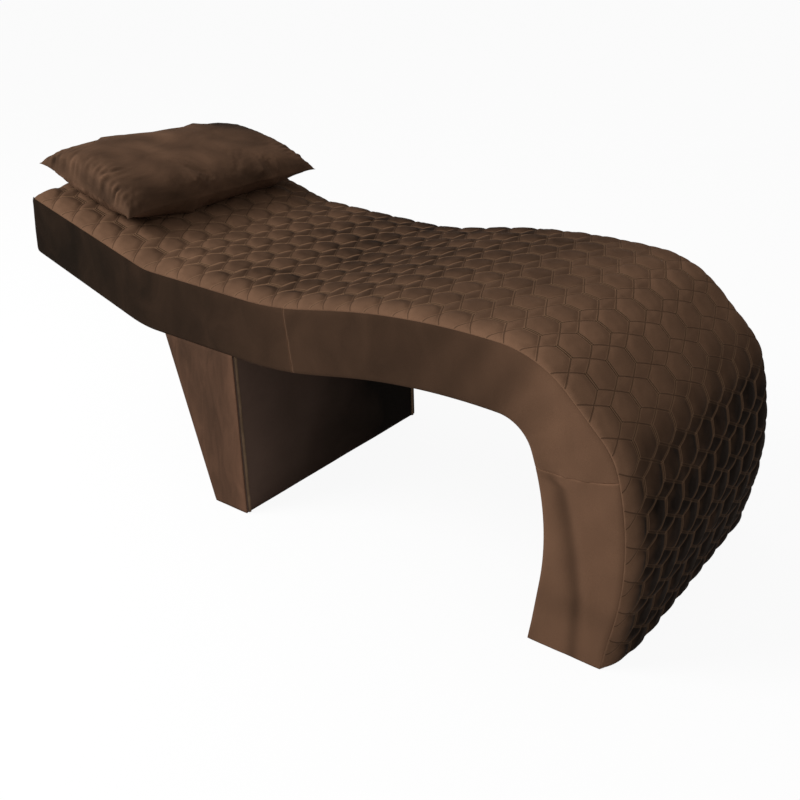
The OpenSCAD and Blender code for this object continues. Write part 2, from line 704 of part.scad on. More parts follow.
module pedestal_washers() {
    color(steel_colour) placed() for (p = bolt_places) translate([p[0], p[1], batten_z - washer_t])
        difference() {
            cylinder(r = washer_r, h = washer_t);
            translate([0, 0, -cut]) cylinder(r = bolt_d / 2 + hole_fit, h = washer_t + 2 * cut);
        }
}
module pedestal_t_nuts() {
    color(steel_colour) placed() for (p = bolt_places) translate([p[0], p[1], rail_top_z]) difference() {
        union() {
            cylinder(r = nut_flange_r, h = nut_flange_t);
            translate([0, 0, -nut_barrel_h]) cylinder(r = nut_barrel_r, h = nut_barrel_h + nut_flange_t);
        }
        translate([0, 0, -nut_barrel_h - cut])
            cylinder(r = bolt_d / 2 + hole_fit, h = nut_barrel_h + nut_flange_t + 2 * cut);
    }
}

// Pedestal covers, and the two welts near the corners of the foot-side face
module pedestal_side_cover(side) {
    y = side * (panel_y + cover_t / 2);
    color(velvet) placed() across(
        pedestal_outline(0, pedestal_z, glide_h), y - cover_t / 2, y + cover_t / 2);
}
module pedestal_cover_near() pedestal_side_cover(-1);
module pedestal_cover_far() pedestal_side_cover(1);
module pedestal_cover_head_side() {
    color(velvet) placed() across(
        [head_face(pedestal_z, 0), head_face(pedestal_z, board_face),
            head_face(glide_h, board_face), head_face(glide_h, 0)], -panel_y, panel_y);
}
module pedestal_cover_foot_side() {
    color(velvet_dark) placed() across(
        [foot_face(pedestal_z, 0), foot_face(pedestal_z, board_face),
            foot_face(glide_h, board_face), foot_face(glide_h, 0)], -panel_y, panel_y);
}
module pedestal_welt(side) {
    y = side * (panel_y - welt_inset - welt_w / 2);
    color(velvet) placed() across(
        [foot_face(pedestal_z, -welt_t), foot_face(pedestal_z, 0),
            foot_face(glide_h, 0), foot_face(glide_h, -welt_t)], y - welt_w / 2, y + welt_w / 2);
}
module pedestal_welt_near() pedestal_welt(-1);
module pedestal_welt_far() pedestal_welt(1);
module pedestal_glides() {
    color(plastic_colour) placed() for (side = [-1, 1]) {
        y = side * (pedestal_y - glide_inset);
        glide(head_face(glide_h, 0)[0] + glide_inset + cover_t, y);
        glide(foot_face(glide_h, 0)[0] - glide_inset - cover_t, y);
    }
}

// Pillow: crowned, with pointed corners, sides that draw in and an underside flat where it rests
pillow_gap = 0.3;
pillow_cells_w = 12;
pillow_cells_l = 22;
// Shares from -1 to 1 over a number of cells, closer together towards the edges
function spread(i, n) = sin(180 * i / n - 90);
// How full the pillow is at a share of its width or length
crown_share = 0.45;
function fullness(u) = pow(max(0, 1 - u * u), crown_share);
function straight(u) = 1 - pow(u, 6);
// A point of the pillow's skin: u and v are shares, face is 1 for the top and -1 for the underside
function pillow_point(u, v, face, skin) =
    let (
        half_w = pillow_w / 2 - pillow_draw * straight(v) - skin,
        half_l = pillow_l / 2 - pillow_draw * straight(u) - skin,
        full = fullness(u) * fullness(v),
        x = u * half_w + v * half_l * tan(pillow_skew),
        rise = face > 0
            ? full * (pillow_crown_h - skin)
            : -min(1, full * pillow_under_share) * (pillow_seam_h - skin)
    )
    [x, v * half_l, rise];
// The underside would bulge this much deeper than the bed lets it
pillow_under_share = 1.35;
pillow_m = pillow_cells_l + 1;
pillow_count = (pillow_cells_w + 1) * pillow_m;
function pillow_grid(face, skin) = [
    for (i = [0:pillow_cells_w]) for (j = [0:pillow_cells_l])
        pillow_point(spread(i, pillow_cells_w), spread(j, pillow_cells_l), face, skin)
];
// Triangles of a grid whose points start at an index; a face of 1 looks up and -1 looks down.
// Each cell is cut by the diagonal that runs towards the nearest corner of the pillow.
function grid_faces(first, face) = [
    for (i = [0:pillow_cells_w - 1]) for (j = [0:pillow_cells_l - 1])
        let (
            a = first + i * pillow_m + j, b = a + pillow_m, c = b + 1, d = a + 1,
            outward = (2 * i + 1 - pillow_cells_w) * (2 * j + 1 - pillow_cells_l) > 0
        )
        each outward
            ? (face > 0 ? [[a, d, c], [a, c, b]] : [[a, c, d], [a, b, c]])
            : (face > 0 ? [[a, d, b], [b, d, c]] : [[a, b, d], [b, c, d]])
];
// Places of a grid's rim, in order round it
pillow_rim = concat(
    [for (j = [0:pillow_cells_l - 1]) j],
    [for (i = [0:pillow_cells_w - 1]) i * pillow_m + pillow_cells_l],
    [for (j = [pillow_cells_l:-1:1]) pillow_cells_w * pillow_m + j],
    [for (i = [pillow_cells_w:-1:1]) i * pillow_m]);
// Triangles between the rims of two grids whose points follow each other
function rim_faces(face) = [
    for (k = [0:len(pillow_rim) - 1])
        let (a = pillow_rim[k], b = pillow_rim[(k + 1) % len(pillow_rim)],
            c = pillow_count + a, d = pillow_count + b)
        each (face > 0 ? [[a, c, d], [a, d, b]] : [[a, d, c], [a, b, d]])
];
// One sewn panel of the cover: its outer skin, its inner skin and the flat rim between them
module pillow_panel(face) {
    polyhedron(
        concat(pillow_grid(face, 0), pillow_grid(face, pillow_cover_t)),
        concat(grid_faces(0, face), grid_faces(pillow_count, -face), rim_faces(face)));
}
// The filling: both inner skins, which share the rim's points
module pillow_core(skin) {
    points = concat(pillow_grid(1, skin), pillow_grid(-1, skin));
    on_rim = [for (k = [0:len(points) - 1])
        k >= pillow_count && abs(points[k][2]) == 0 ? k - pillow_count : k];
    polyhedron(points, [
        for (f = concat(grid_faces(0, 1), grid_faces(pillow_count, -1))) [for (k = f) on_rim[k]]
    ]);
}
// Where the pillow's seam plane sits: over the head slope, on the puffs of the quilting
pillow_seat = quilt_puff + pillow_gap + pillow_seam_h;
pillow_middle = inset(top_at(pillow_at), -pillow_seat);
module on_pillow() {
    placed() translate([pillow_middle[0], pillow_off, pillow_middle[1]]) rotate([0, head_slope, 0])
        children();
}
module pillow_top_panel() {
    color(velvet) on_pillow() pillow_panel(1);
}
module pillow_under_panel() {
    color(velvet_dark) on_pillow() pillow_panel(-1);
}
module pillow_filling() {
    color("#f2efe8") on_pillow() pillow_core(pillow_cover_t + pillow_gap);
}
// Zip along the seam that faces the head end, with its slider near the near end
zip_x = -(pillow_w / 2 - pillow_draw) - pillow_gap;
slider_l = 1.6 * zip_w;
slider_w = 1.3 * zip_w;
slider_t = 2 * zip_t;
pull_l = 3 * zip_w;
module on_zip() {
    on_pillow() multmatrix([[1, tan(pillow_skew), 0, 0], [0, 1, 0, 0], [0, 0, 1, 0], [0, 0, 0, 1]])
        children();
}
module pillow_zip_tape() {
    color(velvet_dark) on_zip() translate([zip_x - zip_w, -zip_l / 2, -zip_t / 2])
        cube([zip_w, zip_l, zip_t]);
}
module pillow_zip_slider() {
    color(steel_colour) on_zip() translate([zip_x - zip_w - pillow_gap, -zip_l / 2, 0]) union() {
        translate([-slider_w, 0, -slider_t / 2]) cube([slider_w, slider_l, slider_t]);
        translate([-slider_w, slider_l, -zip_t / 2]) cube([slider_w / 2, pull_l, zip_t]);
    }
}

quilted_top_cover();
side_cover_near_head();
side_cover_near_middle();
side_cover_near_leg();
side_cover_far_head();
side_cover_far_middle();
side_cover_far_leg();
head_end_cover();
underside_cover();
leg_inner_cover();
foam_head();
foam_seat();
foam_leg();
side_foam_near();
side_foam_far();
deck_board_bed();
deck_board_leg();
under_board_bed();
under_board_leg();
rib_near();
rib_centre();
rib_far();
head_end_board();
foot_end_board();
head_rail();
seat_rail_head_side();
seat_rail_foot_side();
rise_rail();
knee_rail();
leg_rail();
frame_screws();
foot_glides();
pedestal_side_near();
pedestal_side_far();
pedestal_head_board();
pedestal_foot_board();
pedestal_base_board();
pedestal_batten_head_side();
pedestal_batten_foot_side();
pedestal_cover_near();
pedestal_cover_far();
pedestal_cover_head_side();
pedestal_cover_foot_side();
pedestal_welt_near();
pedestal_welt_far();
pedestal_bolts();
pedestal_washers();
pedestal_t_nuts();
pedestal_glides();
pillow_top_panel();
pillow_under_panel();
pillow_filling();
pillow_zip_tape();
pillow_zip_slider();
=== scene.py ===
import math

import bpy
import numpy as np
from mathutils import Matrix, Vector


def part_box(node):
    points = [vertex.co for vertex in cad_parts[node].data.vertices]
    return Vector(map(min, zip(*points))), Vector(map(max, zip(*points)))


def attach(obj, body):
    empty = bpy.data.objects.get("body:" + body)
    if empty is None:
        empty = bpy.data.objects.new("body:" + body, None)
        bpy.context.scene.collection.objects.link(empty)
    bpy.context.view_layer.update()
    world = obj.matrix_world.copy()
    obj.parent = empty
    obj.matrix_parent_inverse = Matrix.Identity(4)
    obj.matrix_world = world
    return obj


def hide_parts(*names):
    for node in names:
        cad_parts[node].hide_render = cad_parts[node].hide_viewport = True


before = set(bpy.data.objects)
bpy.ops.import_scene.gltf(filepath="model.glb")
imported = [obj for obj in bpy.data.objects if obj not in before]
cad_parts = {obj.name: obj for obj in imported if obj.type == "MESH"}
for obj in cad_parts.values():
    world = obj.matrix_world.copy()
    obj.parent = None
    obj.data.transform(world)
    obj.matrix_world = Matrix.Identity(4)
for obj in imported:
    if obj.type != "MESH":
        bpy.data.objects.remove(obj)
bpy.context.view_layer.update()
scene = bpy.context.scene
scene.view_settings.view_transform = "Standard"


# The camera
# It stands off the foot end and the near side, a little above the bed, as the photographer's did.
# Its place comes from the bed's own straight edges and seams.
camera_azimuth = math.radians(37.37)
camera_elevation = math.radians(26.05)
camera_place = (1.6557, -2.0942, 1.5316)
camera = bpy.data.objects.new("camera", bpy.data.cameras.new("camera"))
scene.collection.objects.link(camera)
camera.data.sensor_fit = "HORIZONTAL"
camera.data.lens = 52.5
right = Vector((math.cos(camera_azimuth), math.sin(camera_azimuth), 0))
back = Vector((
    math.sin(camera_azimuth) * math.cos(camera_elevation),
    -math.cos(camera_azimuth) * math.cos(camera_elevation),
    math.sin(camera_elevation),
))
camera.matrix_world = Matrix.Translation(camera_place) @ Matrix(
    (right, back.cross(right), back)
).transposed().to_4x4()
scene.camera = camera


# Plywood: the ribs, the end boards and the pedestal's box
# Birch plywood 18 mm thick, sawn to the bed's profile, screwed and glued. It is covered by the
# upholstery, so it keeps its raw sanded face and the layers show on its edges.
def linear(code):
    """An sRGB hex colour as linear red, green, blue and alpha."""
    shares = [int(code[i : i + 2], 16) / 255 for i in (1, 3, 5)]
    return [c / 12.92 if c <= 0.04045 else ((c + 0.055) / 1.055) ** 2.4 for c in shares] + [1]


def add(tree, kind, inputs=None, **settings):
    """A node with its settings; an input takes a value or another node's output."""
    made = tree.nodes.new(kind)
    for key, value in settings.items():
        setattr(made, key, value)
    for key, value in (inputs or {}).items():
        if isinstance(value, bpy.types.NodeSocket):
            tree.links.new(value, made.inputs[key])
        else:
            made.inputs[key].default_value = value
    return made


def surface(name):
    """A new material's node tree, with nothing but its output."""
    material = bpy.data.materials.new(name)
    material.use_nodes = True
    material.node_tree.nodes.clear()
    tree = material.node_tree
    return material, tree, add(tree, "ShaderNodeOutputMaterial")


def finish_with(tree, output, shader):
    tree.links.new(shader.outputs["BSDF"], output.inputs["Surface"])


def paint(material, *nodes):
    """Gives CAD nodes, which keep their shape, this material."""
    for name in nodes:
        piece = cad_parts[name]
        piece.data.materials.clear()
        piece.data.materials.append(material)


def wood(name, pale, dark, grain_mm, stretch, relief):
    """Sawn wood: long streaks of grain in the direction that stretch makes long."""
    material, tree, output = surface(name)
    place = add(tree, "ShaderNodeTexCoord").outputs["Object"]
    along_grain = add(tree, "ShaderNodeMapping", {"Vector": place, "Scale": stretch})
    grain = add(tree, "ShaderNodeTexNoise", {
        "Vector": along_grain.outputs[0], "Scale": 1000 / grain_mm, "Detail": 6, "Distortion": 0.8})
    rings = add(tree, "ShaderNodeTexWave", {
        "Vector": along_grain.outputs[0], "Scale": 80 / grain_mm, "Distortion": 6, "Detail": 3})
    both = add(tree, "ShaderNodeMath", {0: grain.outputs[0], 1: rings.outputs[1]}, operation="MULTIPLY")
    share = add(tree, "ShaderNodeMapRange", {"Value": both.outputs[0], "From Min": 0.1, "From Max": 0.55})
    colour = add(tree, "ShaderNodeMix", {0: share.outputs[0], 6: linear(pale), 7: linear(dark)},
                 data_type="RGBA")
    bump = add(tree, "ShaderNodeBump", {"Strength": 0.4, "Distance": relief, "Height": both.outputs[0]})
    shader = add(tree, "ShaderNodeBsdfPrincipled", {
        "Base Color": colour.outputs[2], "Roughness": 0.62, "Normal": bump.outputs[0]})
    finish_with(tree, output, shader)
    return material


plywood = wood("birch_plywood_sanded", "#d8b988", "#a97f4d", 24, (0.25, 3, 3), 0.0002)
paint(plywood, "rib_near", "rib_centre", "rib_far", "head_end_board", "foot_end_board",
      "pedestal_side_near", "pedestal_side_far", "pedestal_head_board", "pedestal_foot_board",
      "pedestal_base_board")


# Pine: the cross rails and the battens
# Planed softwood, cut to fit between the ribs, with its grain across the bed. Two wood screws hold each
# rail end, and the battens take the pedestal's bolts.
pine = wood("pine_planed", "#e2c393", "#b98a52", 14, (3, 0.2, 3), 0.0003)
paint(pine, "head_rail", "seat_rail_head_side", "seat_rail_foot_side", "rise_rail", "knee_rail",
      "leg_rail", "pedestal_batten_head_side", "pedestal_batten_foot_side")


# Hardboard: the bent boards over and under the ribs
# Pressed wood fibre, bent over the ribs and stapled. One face is smooth, and the fibres show as specks.
# The upper boards carry the foam, and the lower ones close the slab from below.
hardboard, tree, output = surface("hardboard_pressed")
place = add(tree, "ShaderNodeTexCoord").outputs["Object"]
fibres = add(tree, "ShaderNodeTexNoise", {"Vector": place, "Scale": 1000 / 3, "Detail": 5, "Roughness": 0.7})
colour = add(tree, "ShaderNodeMix", {0: fibres.outputs[0], 6: linear("#6d4a2c"), 7: linear("#9c7448")},
             data_type="RGBA")
bump = add(tree, "ShaderNodeBump", {"Strength": 0.3, "Distance": 0.0002, "Height": fibres.outputs[0]})
finish_with(tree, output, add(tree, "ShaderNodeBsdfPrincipled", {
    "Base Color": colour.outputs[2], "Roughness": 0.55, "Normal": bump.outputs[0]}))
paint(hardboard, "deck_board_bed", "deck_board_leg", "under_board_bed", "under_board_leg")


# Steel: screws, bolts, washers and T-nuts
# Bright zinc plating on steel: slightly blue, with a fine crystal mottle that dulls it unevenly. The bolts
# rise through washers and the pedestal's battens into T-nuts on the seat rails.
zinc, tree, output = surface("zinc_plated_steel")
place = add(tree, "ShaderNodeTexCoord").outputs["Object"]
mottle = add(tree, "ShaderNodeTexVoronoi", {"Vector": place, "Scale": 1000 / 2.5})
rough = add(tree, "ShaderNodeMapRange", {"Value": mottle.outputs["Distance"], "To Min": 0.28, "To Max": 0.45})
colour = add(tree, "ShaderNodeMix", {0: mottle.outputs["Distance"], 6: linear("#c3c9cf"),
             7: linear("#a9afb8")}, data_type="RGBA")
finish_with(tree, output, add(tree, "ShaderNodeBsdfPrincipled", {
    "Base Color": colour.outputs[2], "Metallic": 1.0, "Roughness": rough.outputs[0]}))
paint(zinc, "frame_screws", "pedestal_bolts", "pedestal_washers", "pedestal_t_nuts")


# Glides under the leg and the pedestal
# Moulded black polypropylene feet, nailed on. Their rims are scuffed grey by the floor. Four stand under
# the leg and four under the pedestal.
glide_plastic, tree, output = surface("polypropylene_moulded")
place = add(tree, "ShaderNodeTexCoord").outputs["Object"]
height = add(tree, "ShaderNodeSeparateXYZ", {0: place})
scuffs = add(tree, "ShaderNodeTexNoise", {"Vector": place, "Scale": 1000 / 4, "Detail": 4})
near_floor = add(tree, "ShaderNodeMapRange", {
    "Value": height.outputs["Z"], "From Min": 0.003, "From Max": 0.0, "To Min": 0.0, "To Max": 1.0})
worn = add(tree, "ShaderNodeMath", {0: near_floor.outputs[0], 1: scuffs.outputs[0]}, operation="MULTIPLY")
colour = add(tree, "ShaderNodeMix", {0: worn.outputs[0], 6: linear("#161514"), 7: linear("#4a4744")},
             data_type="RGBA")
grain = add(tree, "ShaderNodeBump", {"Strength": 0.25, "Distance": 0.0001, "Height": scuffs.outputs[0]})
finish_with(tree, output, add(tree, "ShaderNodeBsdfPrincipled", {
    "Base Color": colour.outputs[2], "Roughness": 0.5, "IOR": 1.49, "Normal": grain.outputs[0]}))
paint(glide_plastic, "foot_glides", "pedestal_glides")


# Foam pad: head, seat and leg lengths, and thin foam on both sides
# Polyurethane upholstery foam 40 mm thick, glued to the bent boards, with 8 mm foam on the ribs.
# The lengths follow the bed's side profile, which is a chain of straights and bends. The covers hang
# to just over the floor, 4.5 mm below the boards.
middle_x, head_top_z, head_run, rise_bend_r, calf_bend_r = 0.865924, 0.687, 0.399, 0.82, 0.09
head_slope, rise_slope, crest_slope, knee_slope, shin_slope, tuck_slope = 14.8, 11.8, 1.6, 43.1, 73.5, 100.8
calf_slope, calf_tuck_slope = 69.0, 97.0
head_t, seat_t, knee_t, leg_t = 0.144, 0.155, 0.152, 0.182
head_end_reach, floor_gap = 0.008, 0.0015
cover_t, foam_depth, foam_t = 0.002, 0.0035, 0.04
half_w = 0.35


def bend(radius, turn):
    """A bend's length along its surface and how far it turns, in degrees."""
    return radius * math.radians(abs(turn)), turn


def chain(runs, x, z, heading):
    """A line of runs: for each the distance, place and heading where it starts, its length and its turn."""
    rows, s = [], 0.0
    for length, turn in runs:
        rows.append((s, x, z, heading, length, turn))
        x, z, heading = after(x, z, heading, length, turn)
        s += length
    return np.array(rows), (x, z, heading, s)


def after(x, z, heading, length, turn):
    half = np.radians(turn) / 2
    chord = length * np.sinc(half / math.pi)
    middle = np.radians(heading) + half
    return x + chord * np.cos(middle), z + chord * np.sin(middle), heading + turn


def on(line, s):
    """Place and heading at distances along a line."""
    s = np.asarray(s, float)
    row = line[np.clip(np.searchsorted(line[:, 0], s, side="right") - 1, 0, len(line) - 1)]
    run = s - row[..., 0]
    return after(row[..., 1], row[..., 2], row[..., 3], run, row[..., 5] * run / row[..., 4])


def inset(state, depth):
    """The place at a depth to the right of a line that is followed away from the head."""
    x, z, heading = state
    return x + depth * np.sin(np.radians(heading)), z - depth * np.cos(np.radians(heading))


knee_runs = [
    (head_run, 0), bend(0.18, head_slope), (0.31, 0), bend(rise_bend_r, rise_slope), (0.092, 0),
    bend(1.82, -rise_slope - crest_slope), bend(0.244, crest_slope - knee_slope), (0.106, 0),
    bend(0.154, knee_slope - shin_slope),
]
shin_end_z, calf_end_z = 0.107, 0.15
_, shin = chain(knee_runs, -middle_x, head_top_z, -head_slope)
shin_fall = math.cos(math.radians(shin_slope)) - math.cos(math.radians(tuck_slope))
shin_r = (shin[1] - shin_end_z) / shin_fall
leg_runs = knee_runs + [bend(shin_r, shin_slope - tuck_slope)]
_, tuck = chain(leg_runs, -middle_x, head_top_z, -head_slope)
tuck_run = (tuck[1] - floor_gap) / math.sin(math.radians(tuck_slope))
top, top_end = chain(leg_runs + [(tuck_run, 0)], -middle_x, head_top_z, -head_slope)
top_length = top_end[3]
seat_s, rise_s, knee_s, shin_s = top[2][0], top[3][0], top[6][0], top[9][0]
middle_seam_s = rise_s + bend(rise_bend_r, rise_slope)[0] * 0.72
leg_seam_s = shin_s + 0.01

# The leg's inner face starts under the knee and is 182 mm from the outer face where both are upright
inner_x, inner_z = inset(on(top, knee_s), knee_t)
leg_wide_x = shin[0] + shin_r * (1 - math.sin(math.radians(shin_slope)))
sin_calf, cos_calf = math.sin(math.radians(calf_slope)), math.cos(math.radians(calf_slope))
calf_x = leg_wide_x - leg_t - inner_x - calf_bend_r * (sin_calf - math.sin(math.radians(crest_slope)))
calf_z = inner_z - calf_x * math.tan(math.radians(crest_slope)) - calf_bend_r * (
    math.cos(math.radians(crest_slope)) - cos_calf)
calf_r = (calf_z - calf_end_z) / (
    cos_calf - math.cos(math.radians(calf_tuck_slope)) - (1 - sin_calf) * math.tan(math.radians(crest_slope)))
calf_runs = [
    ((calf_x - calf_r * (1 - sin_calf)) / math.cos(math.radians(crest_slope)), 0),
    bend(calf_bend_r, crest_slope - calf_slope), bend(calf_r, calf_slope - calf_tuck_slope),
]
_, calf_end = chain(calf_runs, inner_x, inner_z, -crest_slope)
calf_run = (calf_end[1] - floor_gap) / math.sin(math.radians(calf_tuck_slope))
inner, inner_end = chain(calf_runs + [(calf_run, 0)], inner_x, inner_z, -crest_slope)
inner_length = inner_end[3]
inner_seam_s = inner[2][0] + 0.034


def slab_t(s):
    return np.interp(s, [0, seat_s, rise_s, knee_s], [head_t, seat_t, seat_t, knee_t])


def head_start(depth, into):
    """Distance along the top where a layer at a depth meets a plane inside the head end."""
    lean = head_end_reach * depth / head_t
    slope = math.radians(head_slope)
    return (into - lean + depth * math.sin(slope)) / math.cos(slope)


def steps(start, end, size, *stops):
    """Distances from start to end, at most size apart, with the stops among them."""
    marks = sorted({start, end, *[m for m in stops if start < m < end]})
    return np.concatenate([
        np.linspace(a, b, max(2, math.ceil((b - a) / size) + 1))[:-1] for a, b in zip(marks, marks[1:])
    ] + [[end]])


def build(name, points, faces, material, smooth=True):
    """A mesh piece of the bed."""
    mesh = bpy.data.meshes.new(name)
    places = np.asarray(points, float).reshape(-1, 3).tolist()
    mesh.from_pydata(places, [], [list(map(int, f)) for f in faces])
    mesh.materials.append(material)
    if smooth:
        mesh.shade_smooth()
    mesh.validate()
    piece = bpy.data.objects.new(name, mesh)
    scene.collection.objects.link(piece)
    return piece


def grid_faces(rows, columns, first=0, flip=False):
    """Four-sided faces of a grid of points."""
    i, j = np.meshgrid(np.arange(rows - 1), np.arange(columns - 1), indexing="ij")
    a = (first + i * columns + j).ravel()
    faces = np.stack([a, a + columns, a + columns + 1, a + 1], 1)
    return faces[:, ::-1] if flip else faces


def shell(name, outer, lining, material):
    """A closed piece between two grids of the same size: its face and the side that is hidden."""
    rows, columns = outer.shape[:2]
    count = rows * columns
    rim = np.concatenate([
        np.arange(columns), np.arange(2, rows) * columns - 1,
        np.arange(count - 1, count - columns - 1, -1), np.arange(rows - 2, 0, -1) * columns,
    ])
    following = np.roll(rim, -1)
    sides = np.stack([rim, following, following + count, rim + count], 1)
    faces = np.concatenate([grid_faces(rows, columns), grid_faces(rows, columns, count, True), sides])
    points = np.concatenate([outer.reshape(-1, 3), lining.reshape(-1, 3)])
    middles = points[faces].mean(1)
    corners = points[faces[:, :3]]
    outward = np.cross(corners[:, 1] - corners[:, 0], corners[:, 2] - corners[:, 0])
    # The sum has the sign of the volume inside, so it is negative when the faces point inwards
    if (outward * middles).sum() < 0:
        faces = faces[:, ::-1]
    return build(name, points, faces, material)


def stand_for(piece, body, slot, *nodes):
    """The piece rides on a body and stands for CAD nodes, which are hidden. Its slot is not used."""
    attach(piece, body)
    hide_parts(*nodes)


foam, tree, output = surface("polyurethane_foam")
place = add(tree, "ShaderNodeTexCoord").outputs["Object"]
cells = add(tree, "ShaderNodeTexVoronoi", {"Vector": place, "Scale": 1000 / 1.5})
colour = add(tree, "ShaderNodeMix", {0: cells.outputs["Distance"], 6: linear("#d9cda4"),
             7: linear("#f0e8c8")}, data_type="RGBA")
bump = add(tree, "ShaderNodeBump", {"Strength": 0.6, "Distance": 0.0006, "Height": cells.outputs["Distance"]})
finish_with(tree, output, add(tree, "ShaderNodeBsdfPrincipled", {
    "Base Color": colour.outputs[2], "Roughness": 0.95, "Normal": bump.outputs[0]}))


def layer(line, s, depth, y):
    """Places at distances s (down) and places y (across) at a depth under a line."""
    x, z = inset(on(line, s), depth)
    return np.stack(np.broadcast_arrays(x[:, None], y[None, :], z[:, None]), -1)


def crown(s, y):
    """How far the padding lifts the cover over the line of its side seams: it rolls up from each side."""
    lift = np.interp(s, crown_places, crown_lifts) * np.sqrt(1 - np.clip(1 - s / head_roll, 0, 1) ** 2)
    low = np.clip((s - shin_s) / (top_length - shin_s), 0, 1) ** 1.5
    return lift * (1 - np.abs(y / half_w) ** 6) * (1 - low * (0.45 + y / 0.6))


# The crown is high over the head and seat, lowest just past the knee, and high again at the floor, where
# the near side is fuller
head_roll = 0.03
crown_places = [0, seat_s, rise_s, knee_s, shin_s, tuck[3], top_length]
crown_lifts = [0.018, 0.022, 0.02, 0.007, 0.005, 0.014, 0.028]
across_foam = np.array([-0.339, -0.325, -0.3, -0.25, -0.15, 0, 0.15, 0.25, 0.3, 0.325, 0.339])
for name, node, start, end in [
    ("head_foam", "foam_head", None, middle_seam_s), ("seat_foam", "foam_seat", middle_seam_s, knee_s),
    ("leg_foam", "foam_leg", knee_s, None),
]:
    first = head_start(foam_depth, 0.006) if start is None else start
    last = top_length - 0.024 if end is None else end
    s = steps(first, last, 0.02)
    deep = head_start(foam_depth + foam_t, 0.006) - first if start is None else 0
    s_under = s + deep * np.clip(1 - (s - first) / 0.2, 0, 1)
    outer = layer(top, s, foam_depth, across_foam)
    s2, y2 = np.meshgrid(s, across_foam, indexing="ij")
    # The foam rises nine tenths as much as the cover over it, and lies 2 mm deeper
    x, z = inset(on(top, s2), foam_depth + 0.002 - 0.9 * crown(s2, y2))
    outer[..., 0], outer[..., 2] = x, z
    pad = shell(name, outer, layer(top, s_under, foam_depth + foam_t, across_foam), foam)
    stand_for(pad, "bed", "foam", node)


def outline(s, s_low, share, depth=0.0):
    """Places between a layer under the top line and the underside, at shares from 0 to 1.
    Up to the knee s_low is a distance along the top, and past it along the leg's inner face."""
    x0, z0 = inset(on(top, s), depth)
    past = s > knee_s + 1e-9
    x1, z1 = inset(on(top, np.minimum(s_low, knee_s)), slab_t(np.minimum(s_low, knee_s)))
    x2, z2 = inset(on(inner, np.clip(s_low, 0, inner_length)), 0 * s)
    x1, z1 = np.where(past, x2, x1), np.where(past, z2, z1)
    return x0 + (x1 - x0) * share, z0 + (z1 - z0) * share


# The underside starts this far along the top's line, because the head end stands nearly upright and not
# square to the slope
under_start = 0.02977


def low_place(s, start, end):
    """Where the underside's end of each cross line is, for a stretch of the side."""
    low = np.where(s < head_run, s + under_start * (1 - s / head_run), s)
    ends = {knee_s: 0.0, leg_seam_s: inner_seam_s, top_length: inner_length}
    leg_knots = sorted({max(start, knee_s), end} & set(ends))
    if end > knee_s:
        low = np.where(s > knee_s, np.interp(s, leg_knots, [ends[k] for k in leg_knots]), low)
    return low


def dent(x, z):
    """Relief of the leg's side: a soft dent runs down it, and its side towards the bed swells a little."""
    off = x - np.interp(-z, -dent_z, dent_x)
    depth = np.interp(z, [0.09, 0.17, 0.34, 0.40, 0.43], [0, 0.7, 1, 0.5, 0])
    return depth * (0.0022 * np.exp(-(((off + 0.034) / 0.02) ** 2)) - 0.0060 * np.exp(-((off / 0.017) ** 2)))


dent_x = np.array([1.561, 1.580, 1.598, 1.612, 1.632]) - middle_x
dent_z = np.array([0.396, 0.381, 0.319, 0.255, 0.144])
board_half_w, side_foam_t = 0.34, 0.0058
foam_shares = np.concatenate([[0.07, 0.1], np.linspace(0.15, 0.85, 22), [0.9, 0.93]])
for side_name, side in [("near", -1), ("far", 1)]:
    s = np.concatenate([steps(0.016, knee_s, 0.02), steps(knee_s + 1e-6, top_length - 0.027, 0.015)])
    low = low_place(s, 0, leg_seam_s)
    low = np.where(s > leg_seam_s, low_place(s, leg_seam_s, top_length), low)
    s2, share = np.meshgrid(s, foam_shares, indexing="ij")
    x, z = outline(s2, np.repeat(low[:, None], len(foam_shares), 1), share)
    out = side_foam_t + np.minimum(dent(x, z), 0)
    outer = np.stack([x, side * (board_half_w + 0.0002 + np.clip(out, 0.0004, 1)), z], -1)
    lining = np.stack([x, np.full_like(x, side * board_half_w), z], -1)
    pad = shell(f"{side_name}_side_foam", outer, lining, foam)
    stand_for(pad, "bed", "foam", f"side_foam_{side_name}")
